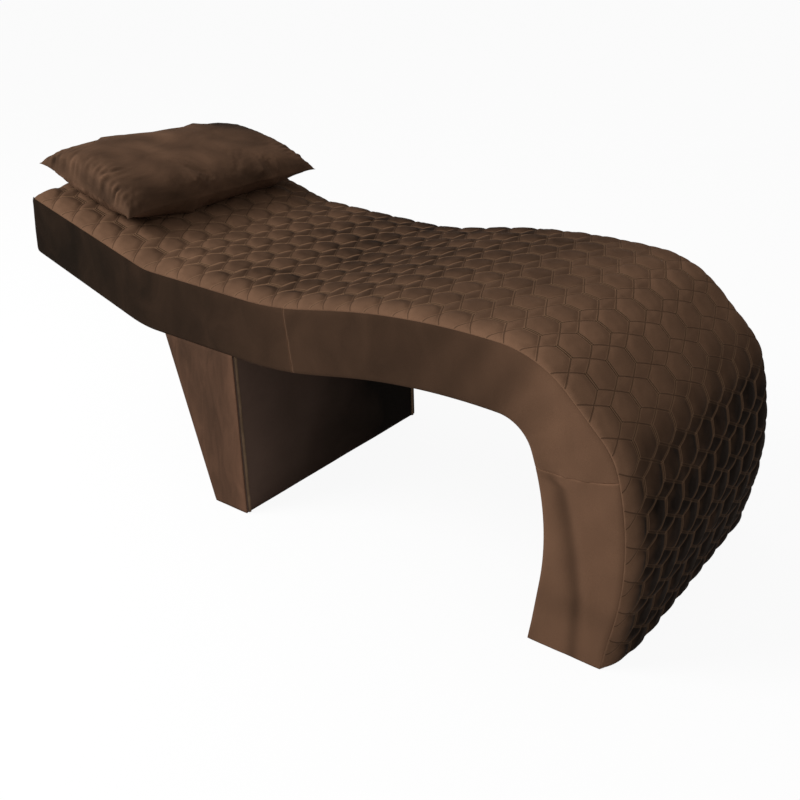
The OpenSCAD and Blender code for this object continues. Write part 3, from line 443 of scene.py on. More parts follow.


# Plain velvet: side, head end, underside and leg covers
# Woven polyester velvet with a 1.5 mm pile on a 0.5 mm backing, cut in panels and sewn together.
# The pile is darker or paler by its brushing and by painted light and shade, and its edges are turned in at
# each seam.
def velvet(name, shade, brushed_and_lit, patch_mm=110, stretch=(1, 1, 1), wander=0.25, sheen=0.2, stitched=False):
    """Velvet: a value at each point gives a share from the shade colour to the paler one, for the pile's
    brushing and for painted light and shade, and patches wander round that."""
    material, tree, output = surface(name)
    place = add(tree, "ShaderNodeTexCoord").outputs["Object"]
    stroked = add(tree, "ShaderNodeMapping", {"Vector": place, "Scale": stretch})
    patches = add(tree, "ShaderNodeTexNoise", {
        "Vector": stroked.outputs[0], "Scale": 1000 / patch_mm, "Detail": 4, "Roughness": 0.55,
        "Distortion": 0.9})
    swing = add(tree, "ShaderNodeMapRange", {
        "Value": patches.outputs[0], "From Min": 0.3, "From Max": 0.7, "To Min": -wander, "To Max": wander})
    nap_and_painted_light = add(tree, "ShaderNodeAttribute", attribute_name="nap_and_painted_light")
    share = add(tree, "ShaderNodeMath", {0: nap_and_painted_light.outputs["Fac"], 1: swing.outputs[0]}, operation="ADD",
                use_clamp=True)
    colour = add(tree, "ShaderNodeMix", {0: share.outputs[0], 6: linear(shade), 7: linear(brushed_and_lit)},
                 data_type="RGBA")
    # The pile is drawn as 1.4 mm tufts, as coarse as it has to be to show
    pile = add(tree, "ShaderNodeTexNoise", {"Vector": place, "Scale": 1000 / 1.4, "Detail": 3})
    speck = add(tree, "ShaderNodeMapRange", {
        "Value": pile.outputs[0], "From Min": 0.3, "From Max": 0.7, "To Min": 0.9, "To Max": 1.08})
    last = add(tree, "ShaderNodeMix", {0: 1.0, 6: colour.outputs[2], 7: speck.outputs[0]},
               data_type="RGBA", blend_type="MULTIPLY").outputs[2]
    soft = add(tree, "ShaderNodeTexNoise", {"Vector": stroked.outputs[0], "Scale": 1000 / 28, "Detail": 2})
    bent = add(tree, "ShaderNodeBump", {
        "Strength": 0.3, "Distance": 0.0012, "Height": soft.outputs[0]}).outputs[0]
    if stitched:
        # A stitched line is a crease 2 mm wide, dark at its bottom, with a painted highlight on the pile
        # beside it.
        # The mesh gives the distance to each line in millimetres and how strong that painted highlight is.
        for line, highlight_line, depth, thread_and_shade_share in (
            ("to_flat", "flat_highlight", 0.0016, 0.75), ("to_arm", "arm_highlight", 0.0010, 0.5),
        ):
            away = add(tree, "ShaderNodeAttribute", attribute_name=line)
            highlight_share = add(tree, "ShaderNodeAttribute", attribute_name=highlight_line)
            highlighted = add(tree, "ShaderNodeMapRange", {
                "Value": away.outputs["Fac"], "From Min": 4.6, "From Max": 1.8, "To Min": 0.0,
                "To Max": highlight_share.outputs["Fac"]}, interpolation_type="SMOOTHSTEP")
            # The painted highlight beside the line
            last = add(tree, "ShaderNodeMix", {0: highlighted.outputs[0], 6: last, 7: linear("#84664e")},
                       data_type="RGBA").outputs[2]
            # The near-black line is partly the thread and partly painted shade at the bottom of the crease
            thread_and_shade = add(tree, "ShaderNodeMapRange", {
                "Value": away.outputs["Fac"], "From Min": 1.9, "From Max": 0.7, "To Min": 0.0,
                "To Max": thread_and_shade_share}, interpolation_type="SMOOTHSTEP")
            last = add(tree, "ShaderNodeMix", {0: thread_and_shade.outputs[0], 6: last, 7: linear("#1a110c")},
                       data_type="RGBA").outputs[2]
            crease = add(tree, "ShaderNodeMapRange", {
                "Value": away.outputs["Fac"], "From Min": 0.0, "From Max": 3.0},
                interpolation_type="SMOOTHSTEP")
            bent = add(tree, "ShaderNodeBump", {
                "Strength": 0.8, "Distance": depth, "Height": crease.outputs[0], "Normal": bent}).outputs[0]
    tufts = add(tree, "ShaderNodeBump", {
        "Strength": 0.4, "Distance": 0.0003, "Height": pile.outputs[0], "Normal": bent})
    shader = add(tree, "ShaderNodeBsdfPrincipled", {
        "Base Color": last, "Roughness": 0.9, "IOR": 1.1, "Sheen Weight": sheen,
        "Sheen Roughness": 0.4, "Sheen Tint": linear("#8a6850"), "Normal": tufts.outputs[0]})
    finish_with(tree, output, shader)
    return material


def spread_on(piece, name, values):
    """Gives a piece a value at each point; a lining takes the values of the face before it."""
    values = np.resize(np.asarray(values, np.float32).ravel(), len(piece.data.vertices))
    piece.data.attributes.new(name, "FLOAT", "POINT").data.foreach_set("value", values)


def ripple(a, b, size, seed, waves=9):
    """A smooth random relief from -1 to 1 over two distances, with bumps of about a given size."""
    draw = np.random.default_rng(seed)
    total = 0 * (a + b)
    for angle, scale, phase in zip(
        draw.uniform(0, 2 * math.pi, waves), draw.uniform(0.6, 1.7, waves),
        draw.uniform(0, 2 * math.pi, waves)
    ):
        total = total + np.sin(
            (a * math.cos(angle) + b * math.sin(angle)) * math.pi * scale / size + phase)
    return total / waves * 1.6


def fade(distance, reach):
    """1 at a seam, falling smoothly to 0 at a reach from it."""
    return np.clip(1 - distance / reach, 0, 1) ** 2


def hem(s):
    """A share that falls towards the floor, where the covers are pulled flat round the leg's corners."""
    return np.clip((top_length - s) / 0.05, 0.1, 1)


# How far the panels roll in at a seam, and how far from it the roll starts
seam_roll, seam_reach = 0.0035, 0.012


def tucked(distance, roll=seam_roll, reach=seam_reach):
    """How far a panel is drawn in near a seam."""
    return roll * fade(distance, reach)


def cover(name, outer, lining, material, nap_and_painted_light, slot, node):
    """A panel of a cover, with point values for its brushing and painted light and shade, in place of a CAD
    node.
    """
    panel = shell(name, outer, lining, material)
    spread_on(panel, "nap_and_painted_light", nap_and_painted_light)
    stand_for(panel, "bed", slot, node)
    return panel


def side_faces(x, z, side, out):
    """A side panel's face, which stands out from the bed's side, and its lining."""
    return [np.stack([x, side * (half_w + lift), z], -1) for lift in (out, np.minimum(out, 0) - cover_t)]


def raised_faces(x, y, z, nx, nz, out):
    """A cross panel's face, which stands out along nx and nz, and its lining."""
    return [np.stack([x + nx * lift, y, z + nz * lift], -1) for lift in (out, np.minimum(out, 0) - cover_t)]


side_velvet = velvet("velvet_side", "#17110c", "#705340", 120, stretch=(1.2, 1, 0.8), wander=0.035,
                     sheen=0.05)
# A darker copy of the velvet for the underside, the leg's inner face and the head end: painted shade on faces
# turned from the lamp
shaded = velvet("velvet_underside_painted_shade", "#2c211b", "#3a2b22", 120, sheen=0.1)


def side_nap_and_painted_shade(x, z):
    """How dark or pale the sides are: dark along the head, paler from the rise on, with streaks at the knee,
    painted shade along the leg's dent, and darker in a band low on the leg.
    """
    base = np.interp(x + middle_x, [0, 0.6, 0.9, 1.15, 1.38, 1.49, 1.56, 1.75],
                     [0, 0.1, 0.22, 0.2, 0.29, 0.53, 0.77, 0.73])
    off = x - np.interp(-z, -dent_z, dent_x)
    in_leg = np.clip((0.42 - z) / 0.03, 0, 1)
    in_dent, low_down = np.exp(-((off / 0.014) ** 2)), np.exp(-((z - 0.12) / 0.035) ** 2)
    # Painted shade along the strip of the leg's dent
    base = base - 0.3 * in_leg * in_dent - 0.12 * low_down * in_leg
    streak = ripple(x - 0.8 * z, z * 0.4, 0.07, 131) * np.clip((x + middle_x - 1.2) / 0.2, 0, 1)
    return base + 0.08 * streak * (1 - 0.4 * in_leg)


edge_shares = np.array([0, 0.012, 0.025, 0.045, 0.07, 0.11])
panel_shares = np.concatenate([edge_shares, np.linspace(0.15, 0.85, 26), 1 - edge_shares[::-1]])

# The width and length of velvet given for each panel, and the panel's area, in metres. The head's length
# is an error: it is 9 mm less than the panel itself measures
leg_seam_sag = 0.010

for part, start, end in [
    ("head", 0.0, middle_seam_s), ("middle", middle_seam_s, leg_seam_s), ("leg", leg_seam_s, top_length),
]:
    for side_name, side in [("near", -1), ("far", 1)]:
        seams = [m for m in (middle_seam_s, leg_seam_s) if start <= m <= end]
        close = [m + d for m in seams for d in (-0.003, 0.003, -0.006, 0.006, -0.01, 0.01)]
        s = steps(start, end, 0.006, knee_s, start + 0.003, start + 0.007, end - 0.003, end - 0.007, *close)
        low = low_place(s, start, end)
        s2, share = np.meshgrid(s, panel_shares, indexing="ij")
        low2 = np.repeat(low[:, None], len(panel_shares), 1)
        x, z = outline(s2, low2, share, seam_roll * hem(s2))
        thick = np.hypot(x[:, -1] - x[:, 0], z[:, -1] - z[:, 0])[:, None]
        # The seam across the leg sags a little in its middle
        z = z - leg_seam_sag * 4 * share * (1 - share) * fade(np.abs(s2 - leg_seam_s), 0.12)
        from_top, from_under = share * thick, (1 - share) * thick
        to_seam = np.min([np.abs(s2 - m) for m in seams], axis=0)
        to_head = s2 if part == "head" else np.full_like(s2, 9.0)
        seed = 10 + side + len(part)
        out = 0.0009 * ripple(s2, from_top, 0.09, seed) + 0.0004 * ripple(s2, from_top, 0.03, seed + 5)
        puckers = ripple(from_top, s2 * 0.2, 0.012, seed + 7)
        out += 0.0009 * puckers * fade(to_seam, 0.03) * (1 if part != "head" else 0.4)
        pull = ripple(s2, from_top * 0.15, 0.016, seed + 9)
        out += 0.0006 * pull * fade(from_top, 0.022)
        out += dent(x, z)
        out *= np.clip(np.minimum(from_top, from_under) / 0.012, 0, 1)
        out -= (tucked(from_top) + tucked(from_under, 0.003, 0.009)) * hem(s2) + tucked(to_head, 0.003, 0.012)
        out -= 0.0008 * np.exp(-((to_seam / 0.0025) ** 2))
        # A painted highlight runs along each seam
        nap_and_painted_light = side_nap_and_painted_shade(x, z) + 0.32 * np.exp(-((to_seam / 0.0022) ** 2))
        panel = cover(f"side_velvet_{side_name}_{part}", *side_faces(x, z, side, out), side_velvet, nap_and_painted_light,
                      "side_velvet", f"side_cover_{side_name}_{part}")


# The underside, the leg's inner face and the head end are one panel each, folded in at the sides
def under_line(s):
    """The underside from the head end to the floor: past the knee it is the leg's inner face."""
    x0, z0 = inset(on(top, np.minimum(s, knee_s)), slab_t(np.minimum(s, knee_s)))
    x1, z1 = inset(on(inner, np.clip(s - knee_s, 0, inner_length)), 0.0)
    return np.where(s > knee_s, x1, x0), np.where(s > knee_s, z1, z0)


def wide_panel(name, node, x, z, nap_and_painted_light, slot, cut_size, cut_area, rests_on, seed, ends, to_floor=False):
    """A panel as wide as the bed over a line of places, facing to the right of the line."""
    run = np.concatenate([[0], np.cumsum(np.hypot(np.diff(x), np.diff(z)))])
    dx, dz = np.gradient(x, run), np.gradient(z, run)
    y = np.concatenate([[-0.347, -0.344, -0.339, -0.332, -0.324], np.linspace(-0.31, 0.31, 40),
                        [0.324, 0.332, 0.339, 0.344, 0.347]])
    run2, y2 = np.meshgrid(run, y, indexing="ij")
    edge = half_w - np.abs(y2)
    flat_hem = 1 - np.clip((run[-1] - run2) / 0.05, 0, 1) if to_floor else 0 * run2
    out = 0.0009 * ripple(run2, y2, 0.14, seed) * np.clip(edge / 0.03, 0, 1)
    out -= tucked(edge - 0.003, 0.003, 0.012) * (1 - flat_hem)
    y2 = y2 + np.sign(y2) * 0.0025 * flat_hem * fade(edge, 0.02)
    out -= tucked(run2, ends[0], 0.012) + tucked(run[-1] - run2, ends[1], 0.012)
    out += 0.0005 * ripple(run2, y2 * 0.2, 0.016, seed + 3) * fade(edge, 0.03)
    nx, nz = dz[:, None], -dx[:, None]
    faces = raised_faces(x[:, None], y2, z[:, None], nx, nz, out)
    panel = cover(name, *faces, shaded, np.full_like(out, nap_and_painted_light), slot, node)


inner_knee_s = float(inner[1][0])
s = steps(under_start, knee_s + inner_knee_s, 0.012, under_start + 0.003, under_start + 0.008)
wide_panel("underside_velvet", "underside_cover", *under_line(s), 0.4, "shaded_velvet",
           (0.74, 1.46), 1.0, ["under_board_bed"], 31, (0.0005, 0.003))
s = steps(knee_s + inner_knee_s, knee_s + inner_length, 0.008, knee_s + inner_length - 0.003)
wide_panel("leg_inner_velvet", "leg_inner_cover", *under_line(s), 0.6, "shaded_velvet", (0.74, 0.58), 0.39,
           ["under_board_leg"], 32, (0.003, 0.0005), to_floor=True)
head_low = under_line(np.array([under_start]))
share = np.array([0.024, 0.04, 0.07, 0.1, 0.14, *np.linspace(0.2, 0.85, 14), 0.9, 0.94, 0.97, 1.0])
x_top, z_top = -middle_x, head_top_z
wide_panel("head_end_velvet", "head_end_cover", x_top + (head_low[0] - x_top) * share,
           z_top + (head_low[1] - z_top) * share, 0.3, "shaded_velvet", (0.74, 0.19), 0.1,
           ["head_end_board"], 33, (0.0035, 0.0005))


# Quilted top
# Velvet, polyester wadding and backing, machine-stitched in hexagons that stand in nine straight rows.
# Each row is two mirrored lines that cross between its hexagons, so diamonds lie between four of them,
# and the lines of neighbouring rows run side by side along the flats.
quilt_rows, quarters = 9, 118
outer_row, quarter = quilt_rows // 2, top_length / quarters
row_pitch, hexagon_half = 2 * half_w / quilt_rows, 0.036
line_gap = row_pitch / 2 - hexagon_half
fine = 6
hexagon_puff, diamond_share, arm_hold = 0.0070, 0.4, 0.35


def to_stitches(s, y):
    """Distances to the nearest flat and the nearest arm of a hexagon and to its point, whether a place is
    inside the hexagon, and whether that arm leans towards the far side on its way to the floor."""
    along = ((s / quarter + 1) % 4 - 2) * quarter
    off = y - np.clip(np.round(y / row_pitch), -outer_row, outer_row) * row_pitch
    leans_far = along * off < 0
    along, off = np.abs(along), np.abs(off)
    flat = np.hypot(np.clip(along - quarter, 0, None), off - hexagon_half)
    arm_length = math.hypot(quarter, hexagon_half)
    run, rise = quarter / arm_length, hexagon_half / arm_length
    reach = np.clip((along - quarter) * run - (off - hexagon_half) * rise, 0, arm_length)
    arm = np.hypot(along - quarter - reach * run, off - hexagon_half + reach * rise)
    point = np.hypot(2 * quarter - along, off)
    inside = (off < hexagon_half) & ((2 * quarter - along) * rise - off * run > 0)
    return flat, arm, point, inside, leans_far


def swell(distance, reach):
    return 1 - (1 - np.clip(distance / reach, 0, 1)) ** 1.7


rows = quarters * fine + 1
half_row = np.linspace(-hexagon_half, hexagon_half, 2 * fine + 1)
y_marks = np.concatenate([[-half_w]] + [
    np.append(row * row_pitch + half_row, (row + 0.5) * row_pitch)
    for row in range(-outer_row, outer_row + 1)])
s, y = np.meshgrid(np.linspace(0, top_length, rows), y_marks, indexing="ij")
edge, end = half_w - np.abs(y), np.minimum(s, top_length - s)
to_flat, to_arm, to_point, in_hexagon, leans_far = to_stitches(s, y)
outermost = edge < line_gap + 0.012
to_flat = np.where(outermost, 0.02, to_flat)
held = arm_hold + np.where(
    in_hexagon, (1 - arm_hold) * swell(to_arm, 0.016), diamond_share * swell(to_arm, 0.011))
between = np.abs(np.abs(y / row_pitch - np.round(y / row_pitch)) - 0.5) * row_pitch < line_gap
height = hexagon_puff * swell(to_flat, 0.028) * held
height = np.where(between & ~outermost, np.clip(height, 0, 0.001 + 0.2 * to_flat), height)
height *= 1 - 0.6 * np.exp(-((to_point / 0.007) ** 2))
height *= np.interp(s, [1.05, 1.35, 1.7, 1.95, top_length], [1, 0.62, 0.62, 0.85, 0.9])
height *= 1 + 0.10 * ripple(s, y, 0.16, 41) + 0.08 * ripple(s, y, 0.05, 42)
for distance in (edge, end):
    height *= np.sin(0.5 * math.pi * np.clip(distance / 0.02, 0, 1)) ** 0.8
height += 0.0007 * ripple(s, y * 0.15, 0.013, 43) * fade(edge, 0.026) * np.clip(edge / 0.004, 0, 1)
height += 0.0004 * ripple(s, y, 0.018, 44) * np.clip(edge / 0.022, 0, 1)
facing = np.gradient(height, axis=1) / np.gradient(y, axis=1)
height += crown(s, y) - tucked(edge) * hem(s) - tucked(s, 0.0035, 0.014) - tucked(top_length - s, 0.001, 0.01)
calm = np.clip(np.minimum(edge, end) / 0.03, 0, 1)
s_shown = s + 0.0014 * ripple(s, y, 0.13, 45) * calm + 0.0035 * fade(s, 0.02)
y_shown = y + 0.0014 * ripple(s, y, 0.13, 46) * calm - np.sign(y) * 0.0035 * fade(edge, 0.02) * hem(s)
x, z = inset(on(top, s_shown), -height)
outer = np.stack([x, y_shown, z], -1)
# The crown leans over the hem, so the cover is stopped just above the floor
outer[..., 2] = np.maximum(outer[..., 2], floor_gap)

# The cover turns in behind the side panels, and its backing follows the padding's crown
lining_y = np.array([-0.3435, -0.325, -0.28, -0.2, 0, 0.2, 0.28, 0.325, 0.3435])
s_low, y_low = np.meshgrid(s_shown[:, 0], lining_y, indexing="ij")
backing = cover_t + 0.0012 - crown(s_low, y_low)
backing[:, [0, -1]] = 0.0055
x_low, z_low = inset(on(top, s_low), backing)
lining = np.stack([x_low, y_low, np.maximum(z_low, floor_gap + 0.001)], -1)
columns, low_columns = outer.shape[1], len(lining_y)
count = outer.shape[0] * columns
faces = [grid_faces(rows, columns, 0, True), grid_faces(rows, low_columns, count)]
r = np.arange(rows - 1)
for column, low_column, turned in ((0, 0, False), (columns - 1, low_columns - 1, True)):
    a, b = r * columns + column, count + r * low_columns + low_column
    sides = np.stack([a, a + columns, b + low_columns, b], 1)
    faces.append(sides[:, ::-1] if turned else sides)
# Each square is cut along the arms, so that the stitched lines run along its edges
upper = faces[0][:, ::-1]
i, j = np.divmod(np.arange(len(upper)), columns - 1)
arm_leans = ((i // fine + 3) % 4 < 2) == (y_marks[j] + y_marks[j + 1] > 2 * row_pitch * np.round(
    (y_marks[j] + y_marks[j + 1]) / 2 / row_pitch))
cut_one = np.concatenate([upper[:, [0, 3, 1]], upper[:, [3, 2, 1]]])
cut_two = np.concatenate([upper[:, [0, 3, 2]], upper[:, [0, 2, 1]]])
both = np.concatenate([arm_leans, arm_leans])
upper = np.where(both[:, None], cut_one, cut_two)
last_row = count - columns
last_low_row = count + (rows - 1) * low_columns
ends = [[*range(columns), *range(count + low_columns - 1, count - 1, -1)],
        [*range(count - 1, last_row - 1, -1), *range(last_low_row, last_low_row + low_columns)]]
quilt_velvet = velvet("velvet_quilted", "#130d09", "#6f5340", 150, wander=0.08, sheen=0.05, stitched=True)
faces = [*upper, *faces[1], *faces[2], *faces[3], *ends]
quilted = build("quilted_velvet_top", np.concatenate([outer.reshape(-1, 3), lining.reshape(-1, 3)]), faces,
                quilt_velvet)
# Along the bed: dark down the leg's face, painted shade where it turns from the lamp; paler beside the
# pillow, painted light over its shadow; paler at the knee
nap_and_painted_light = np.interp(s, [0, 0.35, 0.45, 0.78, 1.0, 1.2, 1.4, 1.55, 1.66, 1.74, 1.82, 1.95, top_length],
                [0.42, 0.58, 0.42, 0.18, 0.2, 0.31, 0.5, 0.85, 0.77, 0.5, 0.1, -0.04, -0.12])
# Darker towards the far side: painted shade away from the lamp
nap_and_painted_light -= 0.28 * y / 0.7 * np.interp(s, [0, 1.3, 1.6, 2.0, top_length], [0.7, 0.7, 0.7, 0.7, 0.4])
# Painted light on the near row of cells, where the crown rolls down towards the lamp
near_row_light = np.interp(s, [0, 0.4, 0.75, 1.6, 1.8, top_length], [0.08, 0.14, 0.4, 0.4, 0.85, 0.75])
nap_and_painted_light += near_row_light * np.exp(-((edge / 0.045) ** 2)) * (y < 0)
nap_and_painted_light += 0.06 * ripple(s, y, 0.11, 47) + 0.05 * ripple(s, y, 0.035, 48)
# Painted highlights along the stitching and painted light on slopes facing the near side, most where the
# cover lies level
nap_and_painted_light += np.clip(1.6 * facing * np.abs(facing), -0.2, 0.3) * ~outermost
# How strong the painted highlight is beside the flats and beside each kind of arm, along the bed
flat_highlight = np.interp(s, [0.3, 0.5, 1.1, 1.5, 1.8, top_length], [0.5, 0.62, 0.55, 0.6, 0.45, 0.25])
flat_highlight *= ~outermost
far_arm_highlight = np.interp(s, [0.3, 0.5, 1.1, 1.4, 1.6, top_length], [0.45, 0.62, 0.55, 0.2, 0.08, 0.15])
near_arm_highlight = np.interp(s, [1.1, 1.5, 1.8, top_length], [0.1, 0.3, 0.35, 0.2])
arm_highlight = np.where(leans_far, far_arm_highlight, near_arm_highlight)
arm_highlight *= np.clip(edge / 0.06, 0.4, 1)
for name, values, lining_value in [
    ("nap_and_painted_light", nap_and_painted_light, 0.3), ("to_flat", to_flat * 1000, 9), ("to_arm", to_arm * 1000, 9),
    ("flat_highlight", flat_highlight, 0), ("arm_highlight", arm_highlight, 0),
]:
    spread_on(quilted, name, np.append(values.ravel(), np.full(lining.size // 3, lining_value)))
stand_for(quilted, "bed", "quilted_velvet", "quilted_top_cover")


# Pedestal covers and welts
# Velvet stapled over the plywood box, folded round its upright edges. A piped welt 8 mm wide runs down
# the foot-side face beside each corner, where that face's panel is closed.
pedestal_top_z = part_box("pedestal_cover_near")[1].z
# Where its two leaning faces stand along the bed, at their top and at the floor
pedestal_head_x = -middle_x + 0.466743, -middle_x + 0.599743
pedestal_foot_x = -middle_x + 0.693743, -middle_x + 0.708743
pedestal_lit = velvet("velvet_pedestal_side", "#2f231b", "#70513f", 85, stretch=(3, 1, 0.7), wander=0.1,
                      sheen=0.05)
# The foot-side face takes a near-black copy of the velvet: painted shade where the slab above and its turn
# from the lamp keep the light off
pedestal_painted_shade = velvet("velvet_pedestal_face_painted_shade", "#100c09", "#54433a", 120, wander=0.06, sheen=0.03)
z = steps(floor_gap, pedestal_top_z + 0.0015, 0.008, 0.009, 0.013)
fall = (pedestal_top_z - z) / (pedestal_top_z - 0.006)
x_head = pedestal_head_x[0] + (pedestal_head_x[1] - pedestal_head_x[0]) * fall
x_foot = pedestal_foot_x[0] + (pedestal_foot_x[1] - pedestal_foot_x[0]) * fall
share = np.array([
    0, 0.01, 0.022, 0.04, 0.065, 0.1, *np.linspace(0.14, 0.86, 22), 0.9, 0.935, 0.96, 0.978, 0.99, 1])
for side_name, side in [("near", -1), ("far", 1)]:
    x = x_head[None, :] + (x_foot - x_head)[None, :] * share[:, None]
    z2 = np.repeat(z[None, :], len(share), 0)
    to_head, to_foot = x - x_head[None, :], x_foot[None, :] - x
    out = 0.0008 * ripple(x, z2, 0.07, 51 + side)
    out += 0.0010 * ripple(z2, x * 0.25, 0.016, 53 + side) * fade(to_foot, 0.035)
    out += 0.0006 * ripple(z2, x * 0.25, 0.02, 55 + side) * fade(to_head, 0.03)
    out *= np.clip(np.minimum(to_head, to_foot) / 0.004, 0, 1)
    out -= tucked(to_head, 0.0012, 0.006) + tucked(to_foot, 0.0012, 0.006)
    out -= tucked(z2 - floor_gap, 0.0005, 0.008)
    # Darker towards the top, and paler within 50 mm of the foot-side corner, a painted highlight on its
    # rounded edge
    nap_and_painted_light = 0.34 - 0.3 * z2 + 0.3 * fade(to_foot, 0.05) + 0.12 * ripple(x, z2 * 0.4, 0.06, 57 + side)
    panel = cover(f"pedestal_velvet_{side_name}", *side_faces(x, z2, side, out), pedestal_lit, nap_and_painted_light,
                  "pedestal_velvet", f"pedestal_cover_{side_name}")
for face, x_face, sign, material in [("head", x_head, -1, pedestal_lit), ("foot", x_foot, 1, pedestal_painted_shade)]:
    y = np.array([-0.347, -0.344, -0.339, -0.332, *np.linspace(-0.32, 0.32, 50), 0.332, 0.339, 0.344, 0.347])
    y2, z2 = np.meshgrid(y, z, indexing="ij")
    edge = half_w - np.abs(y2)
    out = 0.0011 * ripple(y2, z2, 0.11, 61 + sign) * np.clip(edge / 0.03, 0, 1)
    out -= tucked(edge - 0.003, 0.0012, 0.006) + tucked(z2 - floor_gap, 0.0005, 0.008)
    lean = math.atan2(x_face[0] - x_face[-1], pedestal_top_z - floor_gap)
    nx, nz = sign * math.cos(lean), sign * math.sin(lean)
    # Paler towards the near side: painted light from the lamp on that side
    nap_and_painted_light = 0.34 - 1.9 * y2 + 0.12 * ripple(y2, z2, 0.12, 65 + sign)
    faces = raised_faces(x_face[None, :], y2, z2, nx, nz, out)
    panel = cover(f"pedestal_velvet_{face}_side", *faces, material, nap_and_painted_light,
                  "pedestal_velvet", f"pedestal_cover_{face}_side")
welt_velvet = velvet("velvet_welt", "#2a201a", "#6f5a47", 40, sheen=0.1)
for side_name, side in [("near", -1), ("far", 1)]:
    lowest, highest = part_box(f"pedestal_welt_{side_name}")
    middle_y, half_welt, welt_t = (lowest.y + highest.y) / 2, (highest.y - lowest.y) / 2, 0.003
    wander = 0.0007 * ripple(z, z * 0, 0.06, 71 + side)
    fullness = 1 + 0.12 * ripple(z, z * 0, 0.03, 73 + side)
    angle = np.linspace(0, math.pi, 9)
    round_y = middle_y + wander[:, None] + half_welt * fullness[:, None] * np.cos(angle)[None, :]
    round_out = welt_t * fullness[:, None] * np.sin(angle)[None, :]
    face_x, z2 = np.repeat(x_foot[:, None], len(angle), 1), np.repeat(z[:, None], len(angle), 1)
    outer = np.stack([face_x + round_out, round_y, z2], -1)
    lining = np.stack([face_x - 0.0003, round_y, z2], -1)
    welt = cover(f"welt_{side_name}", outer, lining, welt_velvet, np.full_like(round_y, 0.85),
                 "pedestal_velvet", f"pedestal_welt_{side_name}")


# Pillow
# Two velvet panels sewn edge to edge round a polyester filling. The seam is a plain knife edge; it
# gathers the velvet into fine wrinkles, most of all near the corners of the short sides.
slope = math.radians(head_slope)
middle = np.array([0.18095 - middle_x, 0.014, 0.718109])
pillow_w, pillow_l, pillow_rise, pillow_sink = 0.34, 0.655, 0.072, 0.068
skew, seam_bow = math.tan(math.radians(3)), 0.012


def on_slope(points):
    """Places in the pillow's own frame (along the bed, across it, off its seam) in the bed's frame."""
    u, v, w = points[..., 0], points[..., 1], points[..., 2]
    return np.stack([
        middle[0] + u * math.cos(slope) + w * math.sin(slope), middle[1] + v,
        middle[2] - u * math.sin(slope) + w * math.cos(slope)], -1)


cells_u, cells_v = 44, 84
u, v = np.meshgrid(np.linspace(-1, 1, cells_u + 1), np.linspace(-1, 1, cells_v + 1), indexing="ij")


def two_faces(upper, lower):
    """Points and faces of two grids that share their rim."""
    n, m = upper.shape[:2]
    low_index = np.full((n, m), -1)
    low_index[1:-1, 1:-1] = n * m + np.arange((n - 2) * (m - 2)).reshape(n - 2, m - 2)
    top_index = np.arange(n * m).reshape(n, m)
    low_index = np.where(low_index < 0, top_index, low_index)
    points = np.concatenate([upper.reshape(-1, 3), lower[1:-1, 1:-1].reshape(-1, 3)])
    quads = []
    for index, turned in ((top_index, False), (low_index, True)):
        f = np.stack([index[:-1, :-1], index[1:, :-1], index[1:, 1:], index[:-1, 1:]], -1).reshape(-1, 4)
        quads.append(f[:, ::-1] if turned else f)
    return points, np.concatenate(quads), low_index


def bulge(u, v):
    return (np.clip(1 - u * u, 0, 1) * np.clip(1 - v * v, 0, 1)) ** 0.4


# Two flat panels, cut 22 mm wider and 17 mm longer than the filled pillow, are blown up under pressure
cut_w, cut_l, last_frame = pillow_w + 0.022, pillow_l + 0.017, 40
upper = np.stack([u * cut_w / 2, v * cut_l / 2, 0.012 * bulge(u, v)], -1)
points, quads, low_index = two_faces(upper, upper * [1, 1, -1])
blank = bpy.data.materials.new("blank")
cloth = build("pillow_cut", points, quads, blank)
modifier = cloth.modifiers.new("cloth", "CLOTH")
settings = modifier.settings
settings.quality = 6
settings.mass = 0.3
settings.tension_stiffness = settings.compression_stiffness = 30
settings.shear_stiffness = 20
settings.bending_stiffness = 0.4
settings.use_pressure = True
settings.uniform_pressure_force = 6
settings.effector_weights.gravity = 0
modifier.point_cache.frame_end = last_frame
for step in range(1, last_frame + 1):
    scene.frame_set(step)
blown = cloth.evaluated_get(bpy.context.evaluated_depsgraph_get()).data
points = np.empty(len(blown.vertices) * 3, np.float32)
blown.vertices.foreach_get("co", points)
points = points.reshape(-1, 3).astype(float)
bpy.data.objects.remove(cloth)
bpy.data.materials.remove(blank)
scene.frame_set(1)
upper, lower = points[: u.size].reshape(*u.shape, 3), points[low_index]
corner = np.abs(upper[[0, 0, -1, -1], [0, -1, 0, -1]]).mean(0)
fit = np.array([pillow_w / 2 / corner[0], pillow_l / 2 / corner[1], 1])
upper, lower = upper * fit, lower * fit


# The blown panels give the cloth's spread and part of its folds. The crown's height is a formula: full to
# its ends and higher at the near one. The underside is flat where it lies on the bed
def smoothed(grid, times):
    for _ in range(times):
        padded = np.pad(grid, ((1, 1), (1, 1), (0, 0)), mode="reflect", reflect_type="odd")
        grid = (padded[:-2, 1:-1] + padded[2:, 1:-1] + padded[1:-1, :-2] + padded[1:-1, 2:]) / 4
    return grid


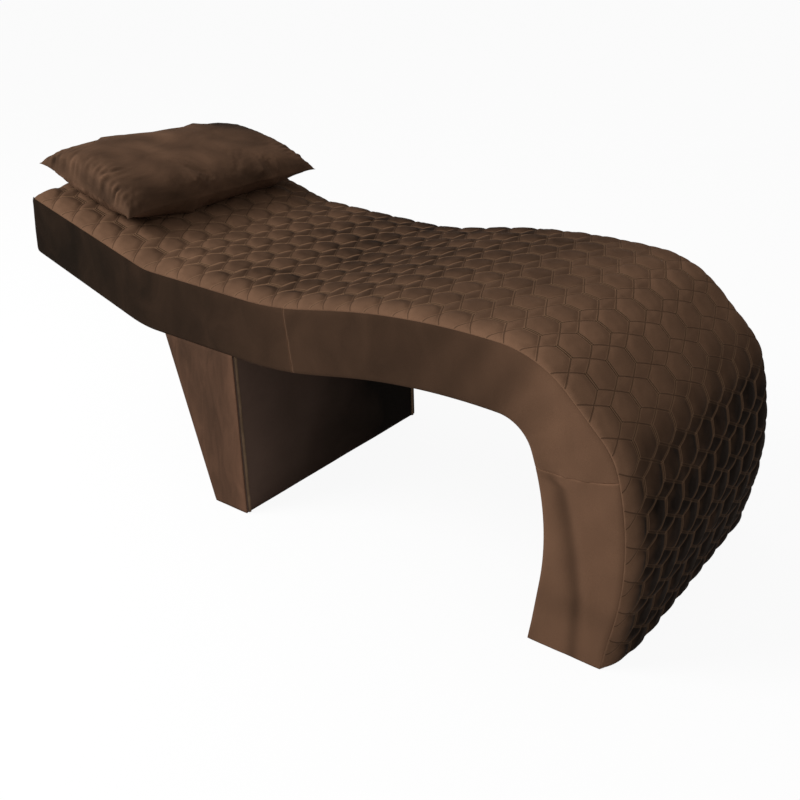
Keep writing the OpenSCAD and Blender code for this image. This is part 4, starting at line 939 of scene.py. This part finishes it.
upper[..., 2] *= pillow_rise / upper[..., 2].max()
lower[..., 2] *= 1.3 * pillow_sink / -lower[..., 2].min()
soft_upper, soft_lower = smoothed(upper, 40), smoothed(lower, 40)
folds = 0.4 * (upper - soft_upper)
upper, lower = soft_upper + folds, soft_lower + 0.4 * (lower - soft_lower)
crown_top, corner_droop = pillow_rise - 0.009, 0.017
crown_height = crown_top * (1 - 0.3 * v + 0.15 * u * np.clip(v, 0, 1)) * (
    1 - np.abs(u) ** 2.3) ** 0.68 * (1 - v ** 6) ** 0.3
upper[..., 2] = crown_height + folds[..., 2]
for face in (upper, lower):
    # The seam keeps to its line, 12 mm further in at the middle of each side than at the corners
    for side, end in ((u < 0, 0), (u > 0, -1)):
        reach = (pillow_w / 2 - seam_bow * (1 - v[0] ** 6)) / np.abs(face[end, :, 0])
        face[..., 0] = np.where(side, face[..., 0] * reach[None, :], face[..., 0])
    for side, end in ((v < 0, 0), (v > 0, -1)):
        reach = (pillow_l / 2 - seam_bow * (1 - u[:, 0] ** 6)) / np.abs(face[:, end, 1])
        face[..., 1] = np.where(side, face[..., 1] * reach[:, None], face[..., 1])
deep = np.clip(-lower[..., 2], 0, None)
lower[..., 2] = -((np.maximum(deep, 1e-6) ** -7.0 + pillow_sink ** -7.0) ** (-1 / 7)) * (deep > 0)
for face in (upper, lower):
    face[..., 0] += skew * face[..., 1]
    # The far corner at the head end droops past the zip
    droop = corner_droop * np.clip((v - 0.62) / 0.38, 0, 1) ** 2 * (1 - u) / 2
    face[..., 2] -= droop * (1 if face is upper else 0.6)
upper[[0, -1]] = lower[[0, -1]] = (upper[[0, -1]] + lower[[0, -1]]) / 2
upper[:, [0, -1]] = lower[:, [0, -1]] = (upper[:, [0, -1]] + lower[:, [0, -1]]) / 2


def finer(grid, times):
    """A grid with more points on a smooth curve through the old ones."""
    for axis in (0, 1):
        grid = np.swapaxes(grid, 0, axis)
        n = len(grid)
        t = np.linspace(0, n - 1, (n - 1) * times + 1)
        i = np.minimum(t.astype(int), n - 2)
        f = (t - i)[:, None, None]
        before, after_next = np.clip(i - 1, 0, n - 1), np.clip(i + 2, 0, n - 1)
        a, b, c, d = grid[before], grid[i], grid[i + 1], grid[after_next]
        a = np.where((i == 0)[:, None, None], 2 * b - c, a)
        d = np.where((i == n - 2)[:, None, None], 2 * c - b, d)
        grid = b + 0.5 * f * (c - a + f * (2 * a - 5 * b + 4 * c - d + f * (3 * (b - c) + d - a)))
        grid = np.swapaxes(grid, 0, axis)
    return grid


filling_points, filling_quads, _ = two_faces(upper * [0.96, 0.975, 0.9], lower * [0.96, 0.975, 0.9])
batting, tree, output = surface("polyester_batting")
place = add(tree, "ShaderNodeTexCoord").outputs["Object"]
fluff = add(tree, "ShaderNodeTexNoise", {"Vector": place, "Scale": 1000 / 6, "Detail": 6, "Roughness": 0.7})
colour = add(tree, "ShaderNodeMix", {0: fluff.outputs[0], 6: linear("#dcd9d0"), 7: linear("#f8f6f0")},
             data_type="RGBA")
bump = add(tree, "ShaderNodeBump", {"Strength": 0.7, "Distance": 0.002, "Height": fluff.outputs[0]})
finish_with(tree, output, add(tree, "ShaderNodeBsdfPrincipled", {
    "Base Color": colour.outputs[2], "Roughness": 1.0, "Normal": bump.outputs[0]}))
filling = build("pillow_batting", on_slope(filling_points), filling_quads, batting)
stand_for(filling, "pillow", "polyester_filling", "pillow_filling")

upper, lower = finer(upper, 3), finer(lower, 3)
u, v = np.meshgrid(np.linspace(-1, 1, upper.shape[0]), np.linspace(-1, 1, upper.shape[1]), indexing="ij")
to_short = (1 - np.abs(v)) * pillow_l / 2
to_long = (1 - np.abs(u)) * pillow_w / 2
for face, seed in ((upper, 81), (lower, 91)):
    du, dv = np.gradient(face, axis=0), np.gradient(face, axis=1)
    normal = np.cross(du, dv) * (1 if face is upper else -1)
    normal /= np.maximum(np.linalg.norm(normal, axis=-1, keepdims=True), 1e-9)
    a, b = u * pillow_w / 2, v * pillow_l / 2
    # Wrinkles run in from the short seams, in clusters, and fewer from the long ones
    cluster = np.exp(-(((a + 0.10) / 0.045) ** 2)) + np.exp(-(((a - 0.07) / 0.055) ** 2)) + 0.15
    cluster = cluster * (1 + 0.5 * ripple(a, b, 0.03, seed + 1))
    out = 0.0036 * ripple(a, b * 0.2, 0.0075, seed + 2, 7) * cluster * np.exp(-((to_short / 0.06) ** 1.8))
    cluster = np.clip(0.05 + 0.9 * ripple(a * 0.05, b, 0.12, seed + 3), 0, 1)
    out += 0.0016 * ripple(b, a * 0.15, 0.009, seed + 4, 7) * cluster * np.exp(-((to_long / 0.032) ** 1.6))
    out += 0.0016 * ripple(a, b, 0.07, seed + 5) * np.clip(np.minimum(to_short, to_long) / 0.05, 0, 1)
    out *= np.clip(np.minimum(to_short, to_long) / 0.007, 0, 1)
    if face is upper:
        wrinkles = out
    else:
        out = np.minimum(out, 0) * 0.7
    face += normal * out[..., None]
pillow_points, pillow_quads, _ = two_faces(upper, lower)
pillow_velvet = velvet("velvet_pillow", "#1a130e", "#6a4f3d", 90, stretch=(1, 0.6, 1), wander=0.15,
                       sheen=0.05)
pillow = build("pillow_velvet_cover", on_slope(pillow_points), pillow_quads, pillow_velvet)
# Paler low on the pillow's sides: painted light where its front lies in shade
nap_and_painted_light = np.interp(pillow_points[:, 2], [-0.03, 0.0, 0.02, 0.06], [0.62, 0.58, 0.46, 0.56])
far_shade = 0.5 * np.clip((v - 0.2) / 0.5, 0, 1) * np.clip(0.4 - u, 0, 1)
patches = 0.1 * ripple(u * 0.17, v * 0.33, 0.05, 95)
# Wrinkle ridges are paler and hollows darker, painted light and shade; the far corner is darker, painted
# shade; the near end is darker; the patches are random tone
nap_and_painted_light[: u.size] += (60 * wrinkles - 0.14 * np.clip(-v, 0, 1) - far_shade + patches).ravel()
spread_on(pillow, "nap_and_painted_light", nap_and_painted_light)
stand_for(pillow, "pillow", "pillow_velvet", "pillow_top_panel", "pillow_under_panel")


# Zip of the pillow's cover
# A nylon coil zip sewn into the seam that faces the head end: a woven tape and a small metal slider.
# The photograph doesn't show that seam, so the zip is a guess.
tape_cloth, tree, output = surface("zip_tape_woven")
place = add(tree, "ShaderNodeTexCoord").outputs["Object"]
ribs = add(tree, "ShaderNodeTexWave", {"Vector": place, "Scale": 90, "Distortion": 0.3}, bands_direction="Y")
colour = add(tree, "ShaderNodeMix", {0: ribs.outputs[1], 6: linear("#2a1e17"), 7: linear("#3a2b22")},
             data_type="RGBA")
bump = add(tree, "ShaderNodeBump", {"Strength": 0.5, "Distance": 0.0003, "Height": ribs.outputs[1]})
finish_with(tree, output, add(tree, "ShaderNodeBsdfPrincipled", {
    "Base Color": colour.outputs[2], "Roughness": 0.8, "Normal": bump.outputs[0]}))
zip_l, zip_w, zip_t = 0.38, 0.0083, 0.0016
zip_x = -(pillow_w / 2 - seam_bow) + 0.001
tape_rows = 96
run = np.linspace(-zip_l / 2, zip_l / 2, tape_rows)
profile = [
    (0, -0.5), (0, 0.5), (-0.55, 0.5), (-0.72, 1.0), (-1, 0.8), (-1, -0.8), (-0.72, -1.0), (-0.55, -0.5)]
ring = np.array(profile) * [zip_w, zip_t / 2]
sides = len(ring)
points = np.stack([
    zip_x + ring[None, :, 0] + skew * run[:, None], np.repeat(run[:, None], sides, 1),
    np.repeat(ring[None, :, 1], tape_rows, 0)], -1)
quads = [(sides * i + j, sides * i + (j + 1) % sides, sides * (i + 1) + (j + 1) % sides, sides * (i + 1) + j)
         for i in range(tape_rows - 1) for j in range(sides)]
quads += [tuple(range(sides - 1, -1, -1)), tuple(range(sides * (tape_rows - 1), sides * tape_rows))]
tape = build("zip_tape", on_slope(points), quads, tape_cloth, smooth=False)
stand_for(tape, "pillow", "zip_tape", "pillow_zip_tape")
zip_metal, tree, output = surface("zip_slider_antiqued_brass")
place = add(tree, "ShaderNodeTexCoord").outputs["Object"]
tarnish = add(tree, "ShaderNodeTexNoise", {"Vector": place, "Scale": 1000 / 3, "Detail": 4})
colour = add(tree, "ShaderNodeMix", {0: tarnish.outputs[0], 6: linear("#4a4038"), 7: linear("#8f7d66")},
             data_type="RGBA")
finish_with(tree, output, add(tree, "ShaderNodeBsdfPrincipled", {
    "Base Color": colour.outputs[2], "Metallic": 1.0, "Roughness": 0.38}))
paint(zip_metal, "pillow_zip_slider")


# Floor and lamps
# A pale studio floor that is white to the camera and keeps a soft shadow, a large soft lamp high on the
# near side, and even light from all round.
floor_cloth, tree, output = surface("studio_floor")
ray = add(tree, "ShaderNodeLightPath")
sweep = add(tree, "ShaderNodeTexNoise", {"Scale": 3, "Detail": 2})
tone = add(tree, "ShaderNodeMapRange", {"Value": sweep.outputs[0], "To Min": 0.86, "To Max": 0.9})
grey = add(tree, "ShaderNodeCombineColor", {0: tone.outputs[0], 1: tone.outputs[0], 2: tone.outputs[0]})
plain = add(tree, "ShaderNodeBsdfDiffuse", {"Color": grey.outputs[0]})
glow = add(tree, "ShaderNodeEmission", {"Color": (1, 1, 1, 1), "Strength": 1.0})
to_camera = add(tree, "ShaderNodeMath", {0: ray.outputs["Is Camera Ray"], 1: ray.outputs["Is Glossy Ray"]},
                operation="MAXIMUM")
amount = add(tree, "ShaderNodeMath", {0: to_camera.outputs[0], 1: 0.93}, operation="MULTIPLY")
mixed = add(tree, "ShaderNodeMixShader", {0: amount.outputs[0], 1: plain.outputs[0], 2: glow.outputs[0]})
tree.links.new(mixed.outputs[0], output.inputs["Surface"])
spokes, radii = 64, (0.01, 2, 5, 14)
turn = np.linspace(0, 2 * math.pi, spokes + 1)[:-1]
rings = np.concatenate([np.stack([r * np.cos(turn), r * np.sin(turn), 0 * turn], 1) for r in radii])
quads = [(a + i, a + spokes + i, a + spokes + (i + 1) % spokes, a + (i + 1) % spokes)
         for a in range(0, spokes * (len(radii) - 1), spokes) for i in range(spokes)]
floor = build("studio_floor", rings, [tuple(range(spokes))] + quads, floor_cloth, smooth=False)

world = bpy.data.worlds.new("studio")
scene.world = world
world.use_nodes = True
tree = world.node_tree
tree.nodes.clear()
ray = add(tree, "ShaderNodeLightPath")
seen = add(tree, "ShaderNodeMath", {0: ray.outputs["Is Camera Ray"], 1: ray.outputs["Is Glossy Ray"]},
           operation="MAXIMUM")
strength = add(tree, "ShaderNodeMapRange", {"Value": seen.outputs[0], "To Min": 0.5, "To Max": 1.0})
sky = add(tree, "ShaderNodeBackground", {"Color": (1, 1, 1, 1), "Strength": strength.outputs[0]})
add(tree, "ShaderNodeOutputWorld", {"Surface": sky.outputs[0]})


def lamp(name, place, aim, size, power):
    made = bpy.data.objects.new(name, bpy.data.lights.new(name, "AREA"))
    made.data.shape = "DISK"
    made.data.size = size
    made.data.energy = power
    made.location = place
    made.rotation_euler = (Vector(aim) - Vector(place)).to_track_quat("-Z", "Y").to_euler()
    scene.collection.objects.link(made)


lamp("key_lamp", (-2.0, -2.5, 2.9), (0.0, 0, 0.45), 2.2, 160)
